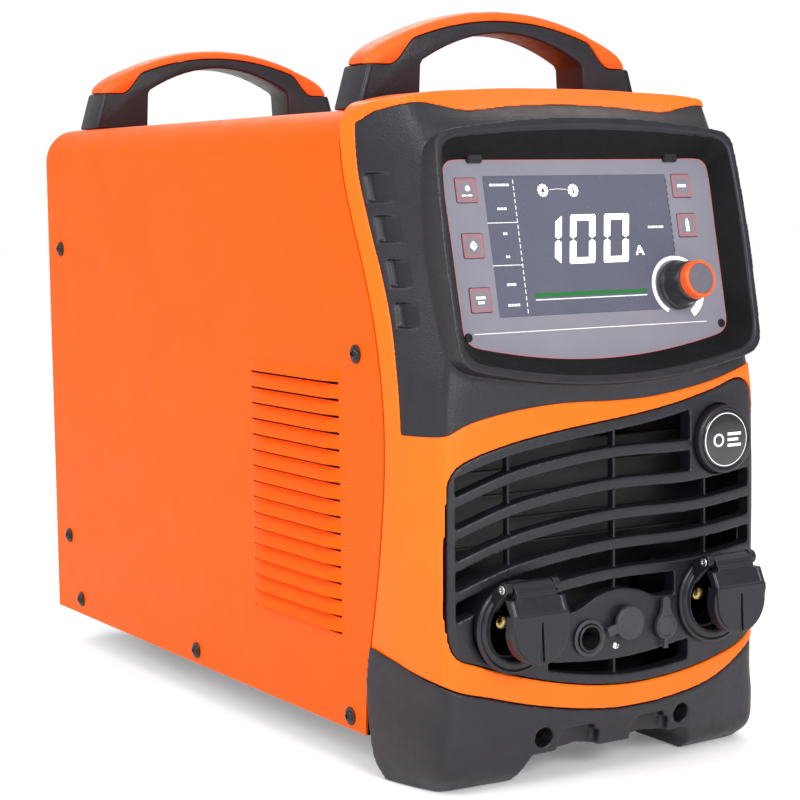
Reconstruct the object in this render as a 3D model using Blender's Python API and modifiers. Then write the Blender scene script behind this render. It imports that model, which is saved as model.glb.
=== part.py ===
"""Plasma cutter power unit: sheet-metal case, moulded front, two handles and its inner parts.

Run with: blender --background --python part.py
Units are metres. +Z is up, the front faces -Y, and X is symmetric about 0.
Depths are counted from the middle of the front grille (0) towards the back, and frame_empty
moves everything so that the origin is under the middle of the whole unit.
"""
import math

import bmesh
import bpy
from mathutils import Matrix, Vector

# ---- driving dimensions -------------------------------------------------------------------
HALF_WIDTH = 0.135          # sheet case, half of its outer width
CASE_TOP = 0.415
CASE_BOTTOM = 0.0255
CASE_REAR = 0.578           # depth of the case's rear edge
SHEET = 0.0015
CORNER_R = 0.026            # bend between the side and the top
GAP = 0.0003                # left between neighbouring pieces
SEAM = 0.0010               # open line between the case and the moulded front
WALL = 0.003                # moulded plastic
TILT = math.radians(12.0)   # display leans back by this much

REAR_REACH = 0.6130         # rearmost depth: the nose of the cable gland

LOUVRES = 16
LOUVRE_DEPTHS = (0.1075, 0.2285)
LOUVRE_HEIGHTS = (0.0877, 0.2467)
SCREW_PLACES = ((0.5526, 0.3201), (0.0871, 0.2643), (0.5515, 0.0873),
                (0.5304, 0.0378), (0.3201, 0.0352), (0.1001, 0.0341))
SCREW_HOLE_R = 0.0028

HANDLE_DEPTHS = {"front": 0.1207, "rear": 0.5320}
HANDLE_THICK = 0.031
HANDLE_TOP = 0.480
HANDLE_SPAN_BASE = 0.1115
HANDLE_SPAN_TIP = 0.103
HANDLE_OPENING = 0.0637

SOCKET_X = 0.077
SOCKET_Z = 0.1018
SOCKET_FLANGE_R = 0.029
SOCKET_BORE_R = 0.0178
SOCKET_DEPTH = 0.0026       # plane that the sockets are measured from
LID_HINGE_FORWARD = 0.0165
LID_HINGE_UP = 0.027
LID_FACE = -0.0135          # the lid's upright face, from its hinge
FRONT_REACH = SOCKET_DEPTH - LID_HINGE_FORWARD + LID_FACE
FRAME_Y = -(FRONT_REACH + REAR_REACH) / 2

BADGE_X, BADGE_Z, BADGE_R = 0.0852, 0.2035, 0.022
TORCH_X, TORCH_Z, TORCH_R = -0.0227, 0.0881, 0.0088
CAP_X, CAP_Z = 0.0053, 0.0950
CONTROL_X, CONTROL_Z, CONTROL_R = 0.0356, 0.0887, 0.0080
RIB_X = 0.0765
GRILLE_HALF = 0.1182

RIM_DEPTH, RIM_HEIGHT = 0.0232, 0.3771   # origin of the tilted display frame
FASCIA_SET_BACK = 0.0148
FASCIA_TOP = 0.0083
BUTTONS = {"button_left_upper": (-0.0872, 0.0190), "button_left_middle": (-0.0870, 0.0529),
           "button_left_lower": (-0.0866, 0.0860), "button_right_upper": (0.0789, 0.0180),
           "button_right_lower": (0.0795, 0.0437)}
BUTTON_SIZE = 0.0150
KNOB_X, KNOB_DOWN = 0.0638, 0.0824

# Grip notches: height of the middle, height, and the start and end along the wing.
NOTCHES = ((0.3660, 0.0175, 0.32, 0.77), (0.3410, 0.0160, 0.34, 0.74),
           (0.3145, 0.0165, 0.32, 0.70), (0.2895, 0.0150, 0.28, 0.69))
NOTCH_DEPTH = 0.0046

FAN_Z, FAN_R = 0.150, 0.057
GLAND_X, GLAND_Z, GLAND_R = 0.070, 0.330, 0.013
INLET_X, INLET_Z, INLET_R = 0.070, 0.268, 0.007
SWITCH_X, SWITCH_Z = -0.065, 0.325

ORANGE = (1.0, 0.16, 0.012)
BLACK = (0.026, 0.025, 0.033)


# ---- small tools ----------------------------------------------------------------------------
def clear_scene():
    for item in list(bpy.data.objects):
        bpy.data.objects.remove(item, do_unlink=True)


def collection(name):
    made = bpy.data.collections.new(name)
    bpy.context.scene.collection.children.link(made)
    return made


clear_scene()
PARTS = collection("plasma_cutter_unit")
CUTTERS = collection("cutters")
frame_empty = bpy.data.objects.new("frame_empty", None)
PARTS.objects.link(frame_empty)
frame_empty.location = (0, FRAME_Y, 0)
display_empty = bpy.data.objects.new("display_empty", None)
PARTS.objects.link(display_empty)
display_empty.parent = frame_empty
display_empty.location = (0, RIM_DEPTH, RIM_HEIGHT)
display_empty.rotation_euler = (math.radians(90) - TILT, 0, 0)


def paint(name, color, roughness=0.5, metallic=0.0):
    """A Principled material, made once for each name."""
    made = bpy.data.materials.get(name)
    if made is None:
        made = bpy.data.materials.new(name)
        made.use_nodes = True
        shader = made.node_tree.nodes["Principled BSDF"]
        shader.inputs["Base Color"].default_value = (*color, 1.0)
        shader.inputs["Roughness"].default_value = roughness
        shader.inputs["Metallic"].default_value = metallic
    return made


def place(name, mesh_data, material=None, at=(0, 0, 0), parent=frame_empty, turn=(0, 0, 0)):
    """Link a mesh as a part when it has a material, and as a cutter when it has none."""
    mesh = bpy.data.meshes.new(name)
    mesh_data.normal_update()
    mesh_data.to_mesh(mesh)
    mesh_data.free()
    made = bpy.data.objects.new(name, mesh)
    made.parent = parent
    made.location = at
    made.rotation_euler = turn
    if material is None:
        CUTTERS.objects.link(made)
        made.hide_render = True
        made.display_type = "WIRE"
    else:
        PARTS.objects.link(made)
        mesh.materials.append(material)
        mesh.shade_smooth()
        mesh.set_sharp_from_angle(angle=math.radians(35))
    return made


def boolean(target, tool, operation):
    step = target.modifiers.new(operation.lower() + "_" + tool.name, "BOOLEAN")
    step.operation = operation
    step.solver = "EXACT"
    step.object = tool


def cut(target, *tools):
    for tool in tools:
        boolean(target, tool, "DIFFERENCE")


def join(target, *tools):
    for tool in tools:
        boolean(target, tool, "UNION")


def soften(target, width, segments=2, angle=35):
    step = target.modifiers.new("soft_edges", "BEVEL")
    step.width = width
    step.segments = segments
    step.limit_method = "ANGLE"
    step.angle_limit = math.radians(angle)
    step.harden_normals = False


def box_mesh(low, high):
    data = bmesh.new()
    bmesh.ops.create_cube(data, size=1.0)
    size = [b - a for a, b in zip(low, high)]
    middle = [(a + b) / 2 for a, b in zip(low, high)]
    bmesh.ops.scale(data, vec=size, verts=data.verts)
    bmesh.ops.translate(data, vec=middle, verts=data.verts)
    return data


AXIS_TURN = {"x": Matrix.Rotation(math.radians(90), 3, "Y"),
             "y": Matrix.Rotation(math.radians(-90), 3, "X"),
             "z": Matrix.Identity(3)}


def rod_mesh(axis, radius, start, end, centre=(0, 0), sides=24, end_radius=None):
    """A cylinder or cone along an axis, from start to end, through centre (the other two)."""
    data = bmesh.new()
    bmesh.ops.create_cone(data, cap_ends=True, segments=sides, radius1=radius,
                          radius2=radius if end_radius is None else end_radius,
                          depth=end - start)
    bmesh.ops.rotate(data, matrix=AXIS_TURN[axis], verts=data.verts)
    middle = {"x": ((start + end) / 2, *centre),
              "y": (centre[0], (start + end) / 2, centre[1]),
              "z": (*centre, (start + end) / 2)}[axis]
    bmesh.ops.translate(data, vec=middle, verts=data.verts)
    return data


def prism_mesh(outline, axis, start, end):
    """A flat outline pushed along an axis. The outline holds the other two coordinates."""
    data = bmesh.new()
    spot = {"x": lambda a, b: (start, a, b), "y": lambda a, b: (a, start, b),
            "z": lambda a, b: (a, b, start)}[axis]
    face = data.faces.new([data.verts.new(spot(a, b)) for a, b in outline])
    pushed = bmesh.ops.extrude_face_region(data, geom=[face])["geom"]
    moved = [item for item in pushed if isinstance(item, bmesh.types.BMVert)]
    shift = Vector([(end - start) if letter == axis else 0.0 for letter in "xyz"])
    bmesh.ops.translate(data, vec=shift, verts=moved)
    bmesh.ops.recalc_face_normals(data, faces=data.faces)
    return data


def merged(*meshes):
    """Several separate closed meshes as one, for a cutter or for a tool with many teeth."""
    data = bmesh.new()
    for source in meshes:
        held = bpy.data.meshes.new("held")
        source.to_mesh(held)
        source.free()
        data.from_mesh(held)
        bpy.data.meshes.remove(held)
    return data


def loft_mesh(rows, pointed=False):
    """A closed solid through rings of points, each running along its front and back again.

    A pointed ring has one shared point at each end of its front and back.
    """
    data = bmesh.new()
    rings = [[data.verts.new(point) for point in row] for row in rows]
    count = len(rings[0])
    for low, high in zip(rings, rings[1:]):
        for i in range(count):
            j = (i + 1) % count
            data.faces.new((low[i], low[j], high[j], high[i]))
    half = count // 2
    for ring in (rings[0], rings[-1]):
        if pointed:
            data.faces.new((ring[0], ring[1], ring[-1]))
            data.faces.new((ring[half - 1], ring[half], ring[half + 1]))
            for i in range(1, half - 1):
                data.faces.new((ring[i], ring[i + 1], ring[count - i - 1], ring[count - i]))
        else:
            for i in range(half - 1):
                data.faces.new((ring[i], ring[i + 1], ring[count - 2 - i], ring[count - 1 - i]))
    bmesh.ops.recalc_face_normals(data, faces=data.faces)
    return data


def stepped_rod(stages, sides=24):
    """A round rod along Y that changes size, through stages of (radius, y)."""
    turn = 360 / sides
    return loft_mesh([[(x, y, z) for x, z in arc(0, 0, radius, 0, 360 - turn, sides)]
                      for radius, y in stages])


def smooth_curve(*points):
    """A smooth function through points, with straight ends."""
    xs = [p[0] for p in points]
    ys = [p[1] for p in points]
    steps = [(ys[i + 1] - ys[i]) / (xs[i + 1] - xs[i]) for i in range(len(xs) - 1)]
    slopes = [steps[0]] + [(a + b) / 2 for a, b in zip(steps, steps[1:])] + [steps[-1]]

    def value(x):
        if x <= xs[0]:
            return ys[0] + slopes[0] * (x - xs[0])
        if x >= xs[-1]:
            return ys[-1] + slopes[-1] * (x - xs[-1])
        i = max(k for k in range(len(xs) - 1) if xs[k] <= x)
        width = xs[i + 1] - xs[i]
        t = (x - xs[i]) / width
        return ((2 * t**3 - 3 * t**2 + 1) * ys[i] + (t**3 - 2 * t**2 + t) * width * slopes[i]
                + (3 * t**2 - 2 * t**3) * ys[i + 1] + (t**3 - t**2) * width * slopes[i + 1])
    return value


def spread(low, high, count):
    return [low + (high - low) * i / (count - 1) for i in range(count)]


def arc(cx, cz, radius, start, end, count):
    return [(cx + radius * math.cos(math.radians(a)), cz + radius * math.sin(math.radians(a)))
            for a in spread(start, end, count)]


def mirrored_outline(half):
    """Close a half outline that runs from x = 0 to x = 0 down the +X side."""
    return half + [(-x, z) for x, z in reversed(half) if abs(x) > 1e-6]


# ---- shared surfaces of the moulded front -----------------------------------------------------
seam_depth = smooth_curve((0.0, 0.083), (0.0635, 0.078), (0.137, 0.0632), (0.215, 0.0553),
                          (0.277, 0.0641), (0.316, 0.0772), (0.346, 0.0900), (0.375, 0.1005),
                          (0.404, 0.1045), (0.430, 0.1045))
corner_half = smooth_curve((0.0, 0.1210), (0.10, 0.1200), (0.235, 0.1190), (0.30, 0.1105),
                           (0.39, 0.1130), (0.43, 0.1140))
corner_depth = smooth_curve((0.0, 0.010), (0.20, 0.010), (0.27, 0.0135), (0.33, 0.0240),
                            (0.39, 0.0380), (0.43, 0.0560))
middle_depth = smooth_curve((0.0, 0.0), (0.22, 0.0), (0.2345, 0.0010), (0.246, -0.0008),
                            (0.31, 0.0120), (0.39, 0.0300), (0.405, 0.0345), (0.4165, 0.0580),
                            (0.4275, 0.0720))
crown_height = smooth_curve((-0.1355, 0.4040), (-0.1300, 0.4145), (-0.1165, 0.4200), (-0.058, 0.4258),
                            (0.0, 0.4272), (0.058, 0.4258), (0.1165, 0.4200), (0.1300, 0.4145),
                            (0.1355, 0.4040))
hood_top = smooth_curve((-0.1350, 0.3950), (-0.1290, 0.4085), (-0.1200, 0.4145), (-0.1090, 0.4168),
                        (-0.0950, 0.4150), (-0.0780, 0.4120), (-0.0400, 0.4148), (0.0, 0.4162),
                        (0.0400, 0.4148), (0.0780, 0.4120), (0.0950, 0.4150), (0.1090, 0.4168),
                        (0.1200, 0.4145), (0.1290, 0.4085), (0.1350, 0.3950))
hood_bottom = smooth_curve((-0.136, 0.2180), (-0.118, 0.2190), (-0.107, 0.2245), (-0.085, 0.2300),
                           (-0.061, 0.2333), (-0.038, 0.2347), (0.0, 0.2340), (0.027, 0.2346),
                           (0.079, 0.2412), (0.118, 0.2500), (0.136, 0.2530))
grille_top = smooth_curve((-0.126, 0.1960), (-0.112, 0.2015), (-0.082, 0.2108), (-0.041, 0.2180),
                          (0.0, 0.2225), (0.046, 0.2283), (0.1065, 0.2406), (0.126, 0.2440))
grille_bottom = smooth_curve((-0.126, 0.0900), (-0.104, 0.0810), (-0.075, 0.0710), (-0.045, 0.0630),
                             (0.0, 0.0560), (0.049, 0.0570), (0.0825, 0.0620), (0.110, 0.0700),
                             (0.126, 0.0760))
bumper_top = smooth_curve((-0.137, 0.0850), (-0.125, 0.0710), (-0.090, 0.0580), (-0.045, 0.0470),
                          (0.0, 0.0410), (0.049, 0.0426), (0.0825, 0.0490), (0.110, 0.0630),
                          (0.137, 0.0850))
STRIP_WIDTH = 0.0125        # orange strip between the case and the hood
SIDE_STEPS = (1.0, 0.78, 0.56, 0.36, 0.18, 0.0)
FRONT_STEPS = (0.78, 0.5, 0.25, 0.0)
CROWN_FROM = 0.385          # above this, rows bend towards the crown
SKIRT_TO = 0.110            # below this, rows bend towards the bumper
FRONT_ROWS = (0.041, 0.070, 0.115, 0.155, 0.195, 0.225, 0.255, 0.285, 0.315, 0.345, 0.375,
              0.392, 0.404, 0.414, 0.421, 0.4272)


def wing_swell(t):
    """Share of the way out from the corner to the side wall, t of the way back to the seam."""
    return math.sin(t * math.pi / 2) * 0.45 + t * 0.55


def wrapped_ring(corner, side_x, middle_y, side_y, height):
    """Ring round a section: its front wraps both corners, and its back is straight across.

    corner is the (x, y) where side and front meet, side_y gives the back edge from z,
    and height gives z from x.
    """
    corner_x, corner_y = corner

    def side_point(sign, t):
        x = sign * (corner_x + (side_x - corner_x) * wing_swell(t))
        return (x, corner_y + (side_y(height(x)) - corner_y) * t, height(x))

    def front_point(sign, t):
        x = sign * corner_x * t
        return (x, middle_y + (corner_y - middle_y) * t**2, height(x))

    front = [side_point(-1, t) for t in SIDE_STEPS] + [front_point(-1, t) for t in FRONT_STEPS]
    front += [front_point(1, t) for t in reversed(FRONT_STEPS[:-1])]
    front += [side_point(1, t) for t in reversed(SIDE_STEPS)]
    behind = [(x, side_y(z), z) for x, y, z in reversed(front[1:-1])]
    return front + behind


def front_ring(nominal, height, inset=0.0, back=0.0):
    """Section of the moulded front at one nominal height."""
    corner = (corner_half(nominal) - inset, corner_depth(nominal) + inset)
    return wrapped_ring(corner, HALF_WIDTH - inset, middle_depth(nominal) + inset,
                        lambda z: seam_depth(z) + back, height)


def front_mass(name, heights, low, high, inset=0.0, back=0.0, material=None):
    """The moulded front between two boundary curves, with rows at the given heights."""
    rows = []
    for nominal in heights:
        def height(x, nominal=nominal):
            if nominal > CROWN_FROM:
                share = (nominal - CROWN_FROM) / (heights[-1] - CROWN_FROM)
                return CROWN_FROM + share * (high(x) - CROWN_FROM)
            if nominal < SKIRT_TO:
                share = (SKIRT_TO - nominal) / (SKIRT_TO - heights[0])
                return SKIRT_TO - share * (SKIRT_TO - low(x))
            return nominal
        rows.append(front_ring(nominal, height, inset, back))
    return place(name, loft_mesh(rows, pointed=True), material)


# ---- case --------------------------------------------------------------------------------------
def u_profile(inset, bottom):
    """Inverted U of the case, seen from the front, left foot to right foot."""
    side = HALF_WIDTH - inset
    top = CASE_TOP - inset
    radius = CORNER_R - inset
    rows = [z for z in FRONT_ROWS if bottom + 0.03 < z < top - radius - 0.004]
    left = [(-side, bottom)] + [(-side, z) for z in rows]
    bend = arc(-side + radius, top - radius, radius, 180, 90, 6)
    half = left + bend
    return half + [(-x, z) for x, z in reversed(half)]


def screw_holes():
    """One cutter for the twelve case screws."""
    rods = []
    for side in (-1, 1):
        for depth, height in SCREW_PLACES:
            ends = sorted((side * (HALF_WIDTH + 0.004), side * (HALF_WIDTH - 0.012)))
            rods.append(rod_mesh("x", SCREW_HOLE_R, *ends, centre=(depth, height), sides=12))
    return place("screw_holes", merged(*rods))


def outer_cover():
    """Bent sheet over the left side, the top and the right side, with pressed louvres."""
    data = bmesh.new()
    profile = u_profile(0.0, CASE_BOTTOM)
    front = [data.verts.new((x, seam_depth(z) + SEAM, z)) for x, z in profile]
    back = [data.verts.new((x, CASE_REAR, z)) for x, z in profile]
    for i in range(len(profile) - 1):
        data.faces.new((front[i], back[i], back[i + 1], front[i + 1]))
    bmesh.ops.recalc_face_normals(data, faces=data.faces)
    cover = place("outer_cover", data, paint("orange_powder_coat", ORANGE, 0.4))
    shell = cover.modifiers.new("sheet", "SOLIDIFY")
    shell.thickness = SHEET
    shell.offset = -1.0 if cover.data.polygons[0].normal.x < 0 else 1.0
    join(cover, louvre_ridges())
    cut(cover, louvre_slots(), screw_holes_tool)
    return cover


def louvre_heights():
    return spread(*LOUVRE_HEIGHTS, LOUVRES)


def louvre_ridges():
    """Pressed hoods of both sides: each swells out above its slot."""
    ridges = []
    for side in (-1, 1):
        inner = side * (HALF_WIDTH - SHEET / 2)
        outer = side * (HALF_WIDTH + 0.0022)
        for z in louvre_heights():
            outline = [(inner, z - 0.0012), (outer, z - 0.0012), (outer, z + 0.0002), (inner, z + 0.0042)]
            ridges.append(prism_mesh(outline, "y", LOUVRE_DEPTHS[0], LOUVRE_DEPTHS[1]))
    return place("louvre_ridges", merged(*ridges))


def louvre_slots():
    """Air slots through the sheet, under each pressed hood."""
    slots = []
    inner, outer = HALF_WIDTH - 0.004, HALF_WIDTH + 0.004
    for side in (-1, 1):
        for z in louvre_heights():
            low = (min(side * inner, side * outer), LOUVRE_DEPTHS[0] + 0.004, z - 0.0042)
            high = (max(side * inner, side * outer), LOUVRE_DEPTHS[1] - 0.004, z - 0.0016)
            slots.append(box_mesh(low, high))
    return place("louvre_slots", merged(*slots))


def base_pan():
    """Folded floor with side flanges that the case screws pass through."""
    x, front, back = HALF_WIDTH - SHEET - 0.0005, 0.0865, CASE_REAR - 0.0008
    floor, rise = CASE_BOTTOM, 0.030
    pan = place("base_pan", box_mesh((-x, front, floor), (x, back, floor + rise)),
                paint("zinc_sheet", (0.45, 0.46, 0.47), 0.35, 0.9))
    hollow = box_mesh((-x + SHEET, front - 0.01, floor + SHEET), (x - SHEET, back - SHEET, floor + 0.06))
    cut(pan, place("pan_hollow", hollow), screw_holes_tool)
    return pan


def rear_panel():
    """Rear plate with forward flanges, and cut-outs for fan, switch, gland and air inlet."""
    x, top = HALF_WIDTH - SHEET - 0.0005, CASE_TOP - SHEET - 0.0005
    bottom = CASE_BOTTOM + 0.032
    near, far = 0.5420, CASE_REAR - 0.002
    side = arc(x - 0.024, top - 0.024, 0.024, 90, 0, 6)
    half = [(0, top)] + side + [(x, bottom), (0, bottom)]
    panel = place("rear_panel", prism_mesh(mirrored_outline(half), "y", near, far),
                  paint("black_sheet", (0.03, 0.03, 0.034), 0.45))
    xi, ti = x - SHEET, top - SHEET
    inner = [(0, ti)] + arc(xi - 0.0225, ti - 0.0225, 0.0225, 90, 0, 6)
    inner += [(xi, bottom - 0.01), (0, bottom - 0.01)]
    hollow = place("rear_hollow", prism_mesh(mirrored_outline(inner), "y", near - 0.01, far - 0.002))
    holes = merged(rod_mesh("y", FAN_R, far - 0.01, far + 0.01, (0, FAN_Z), 32),
                   rod_mesh("y", GLAND_R + GAP, far - 0.01, far + 0.01, (GLAND_X, GLAND_Z), 20),
                   rod_mesh("y", INLET_R + GAP, far - 0.01, far + 0.01, (INLET_X, INLET_Z), 16),
                   box_mesh((SWITCH_X - 0.0273, far - 0.01, SWITCH_Z - 0.0243),
                            (SWITCH_X + 0.0273, far + 0.01, SWITCH_Z + 0.0243)))
    cut(panel, hollow, place("rear_holes", holes), screw_holes_tool)
    return panel


def case_screws():
    """Twelve washer-head screws, six a side."""
    metal = paint("black_screw", (0.02, 0.02, 0.022), 0.35, 0.6)
    for side, word in ((-1, "left"), (1, "right")):
        for number, (depth, height) in enumerate(SCREW_PLACES, 1):
            face = side * (HALF_WIDTH + GAP)
            washer = rod_mesh("x", 0.0058, *sorted((face, face + side * 0.0012)), (depth, height), 12)
            screw = place(f"case_screw_{word}_{number}", washer, metal)
            head = rod_mesh("x", 0.0043, *sorted((face + side * 0.0004, face + side * 0.0030)),
                            (depth, height), 12)
            shank = rod_mesh("x", 0.0024, *sorted((face + side * 0.0006, face - side * 0.0075)),
                             (depth, height), 8)
            join(screw, place("head", head), place("shank", shank))


# ---- moulded front -----------------------------------------------------------------------------
def grille_outline(offset):
    """Outline of the grille, grown by offset; its corners are round."""
    left, right = -GRILLE_HALF - offset, GRILLE_HALF + offset
    upper = [(x, grille_top(x) + offset) for x in spread(right - 0.012, left + 0.016, 9)]
    lower = [(x, grille_bottom(x) - offset) for x in spread(left + 0.018, right - 0.010, 9)]
    high_z, low_z = grille_top(left + 0.016), grille_bottom(left + 0.018)
    top_left = [(left + 0.0055, high_z - 0.0055 + offset), (left + 0.0011, high_z - 0.0115),
                (left, high_z - 0.0175)]
    low_left = [(left, low_z + 0.016), (left + 0.005, low_z + 0.005)]
    low_right = [(right, grille_bottom(right - 0.010) + 0.010)]
    top_right = [(right, grille_top(right - 0.012) - 0.010)]
    return upper + top_left + low_left + lower + low_right + top_right


def hood_region(name, grow, front, back_shift):
    """Space in front of the orange strip, between the hood's lower and upper edges."""
    xs = (-0.1400, -0.1300, -0.1200, -0.1100, -0.0900, -0.0700, -0.0500, -0.0250)
    xs = xs + (0.0,) + tuple(-x for x in reversed(xs))
    rows = []
    for t in spread(0.0, 1.0, 11):
        heights = [(x, hood_bottom(x) - grow + t * (hood_top(x) - hood_bottom(x) + 2 * grow)) for x in xs]
        row = [(x, front, z) for x, z in heights]
        row += [(x, seam_depth(z) - STRIP_WIDTH + back_shift, z) for x, z in reversed(heights)]
        rows.append(row)
    return place(name, loft_mesh(rows))


def crown_underside(x):
    """Top of the space inside the front; the crown is solid above the hood."""
    return min(crown_height(x) - WALL, hood_top(x) - 0.0010)


def front_bezel():
    """Orange moulded frame: side strips, crown over the hood, band and skirt round the grille."""
    bezel = front_mass("front_bezel", FRONT_ROWS, lambda x: bumper_top(x) + GAP, crown_height,
                       material=paint("orange_plastic", ORANGE, 0.45))
    inner_rows = (0.0, *FRONT_ROWS[1:-3], crown_height(0) - WALL)
    hollow = front_mass("bezel_hollow", inner_rows, lambda x: 0.0, crown_underside, inset=WALL, back=0.02)
    opening = place("grille_opening", prism_mesh(grille_outline(0.0005), "y", -0.05, 0.06))
    cut(bezel, hood_region("hood_opening", GAP, -0.05, 0.0), hollow, opening)
    return bezel


def panel_outline(inset=0.0, drop=0.0):
    """Outline of the display rim in its own plane, 4 points a corner and arched top and bottom."""
    top_x, low_x = 0.1150 - inset, 0.1165 - inset
    arch = [(x, 0.0314 - inset - drop - 0.72 * x * x) for x in spread(0.0, top_x - 0.012, 5)]
    top_z = arch[-1][1]
    corner = [(top_x - 0.006, top_z - 0.0020), (top_x - 0.0015, top_z - 0.0065), (top_x, top_z - 0.0130)]
    side = [(0.1178 - inset, -0.045), (low_x + 0.0006, -0.085), (low_x, -0.104)]
    sag = [(x, -0.1350 + inset + 1.15 * x * x) for x in spread(low_x - 0.012, 0.0, 6)]
    low_z = sag[0][1]
    lower = [(low_x - 0.0015, low_z + 0.0085), (low_x - 0.006, low_z + 0.0030)]
    return mirrored_outline(arch + corner + side + lower + sag)


def fascia_outline(grow=0.0):
    """Outline of the flat display panel, with as many points as panel_outline."""
    top, side = FASCIA_TOP + grow, 0.1027 + grow
    arch = [(x, top) for x in spread(0.0, side - 0.008, 5)]
    corner = [(side - 0.004, top - 0.0011), (side - 0.0011, top - 0.004), (side, top - 0.008)]
    walls = [(side, -0.045), (side - 0.0004, -0.085), (side - 0.0008, -0.098 - grow)]
    sag = [(x, -0.1177 - grow + 1.25 * x * x) for x in spread(side - 0.009, 0.0, 6)]
    low_z = sag[0][1]
    lower = [(side - 0.0020, low_z + 0.0050), (side - 0.0050, low_z + 0.0018)]
    return mirrored_outline(arch + corner + walls + lower + sag)


def between_outlines(name, outer, front, inner, back):
    """A solid from one closed outline to another of the same length, along the display's normal."""
    data = bmesh.new()
    rings = [[data.verts.new((x, y, n)) for x, y in outline]
             for outline, n in ((outer, front), (inner, back))]
    count = len(outer)
    for i in range(count):
        j = (i + 1) % count
        data.faces.new((rings[0][i], rings[0][j], rings[1][j], rings[1][i]))
    data.faces.new(rings[0])
    data.faces.new(rings[1])
    bmesh.ops.recalc_face_normals(data, faces=data.faces)
    return place(name, data, parent=display_empty)


def display_hood():
    """Black moulding round the display: side wings, raised rim and the recess behind it."""
    hood = front_mass("display_hood", FRONT_ROWS, bumper_top, crown_height,
                      material=paint("black_textured_plastic", BLACK, 0.55))
    boolean(hood, hood_region("hood_shape", -0.0006, -0.05, -0.0006), "INTERSECT")
    rim = between_outlines("hood_rim", panel_outline(), 0.0, panel_outline(0.002), -0.026)
    recess = between_outlines("hood_recess", panel_outline(0.0040), 0.0010,
                              fascia_outline(0.0004), -FASCIA_SET_BACK - 0.0034)
    pocket = place("hood_pocket", box_mesh((-0.0968, -0.0970, -0.120), (0.0968, 0.0030, -0.010)),
                   parent=display_empty)
    join(hood, rim)
    cut(hood, recess, pocket, grip_notches())
    return hood


def wing_point(side, t, z):
    """Point of the hood's wing at one height: t runs from 0 at the corner to 1 at the seam."""
    corner_x, corner_y = corner_half(z), corner_depth(z)
    x = side * (corner_x + (HALF_WIDTH - corner_x) * wing_swell(t))
    return Vector((x, corner_y + (seam_depth(z) - corner_y) * t, z))


def grip_notches():
    """Four finger scoops in each wing of the hood, deepest at the back and running out in front."""
    scoops = []
    for side in (-1, 1):
        for middle, height, low, high in NOTCHES:
            rows = []
            for z in spread(middle - height / 2, middle + height / 2, 3):
                fore, rear = wing_point(side, low, z), wing_point(side, high, z)
                along = (fore - rear).normalized()
                inward = Vector((side * along.y, -side * along.x, 0))
                rows.append([fore - inward * 0.0005, rear + inward * NOTCH_DEPTH + along * NOTCH_DEPTH * 0.7,
                             rear, rear - inward * 0.012, fore - inward * 0.012, fore - inward * 0.006])
            scoops.append(loft_mesh(rows))
    return place("grip_notches", merged(*scoops))


def grille_front(x):
    return 0.010 * (x / 0.118)**2


bar_shape = smooth_curve((-0.1262, -0.0270), (-0.1170, -0.0238), (-0.0777, -0.0103), (-0.0380, -0.0032),
                         (0.0, 0.0), (0.0600, -0.0005), (0.1090, 0.0030), (0.1262, 0.0050))
BAR_TOPS = (0.2053, 0.1855, 0.1665, 0.1480, 0.1295)
BAR_THICK = 0.0067
plate_top = smooth_curve((-0.046, 0.1040), (-0.030, 0.1065), (-0.015, 0.1135), (0.002, 0.1163),
                         (0.018, 0.1135), (0.030, 0.1085), (0.046, 0.1075))
plate_bottom = smooth_curve((-0.060, 0.0770), (-0.044, 0.0749), (0.0034, 0.0723), (0.060, 0.0775))


def slot(low, high, left, right):
    """Cutter for one curved grille slot between two curves."""
    xs = spread(left, right, 7)
    outline = [(x, low(x)) for x in xs] + [(x, high(x)) for x in reversed(xs)]
    return prism_mesh(outline, "y", -0.03, 0.05)


def bar_edge(top, thickness=0.0):
    return lambda x: top + bar_shape(x) - thickness


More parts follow.
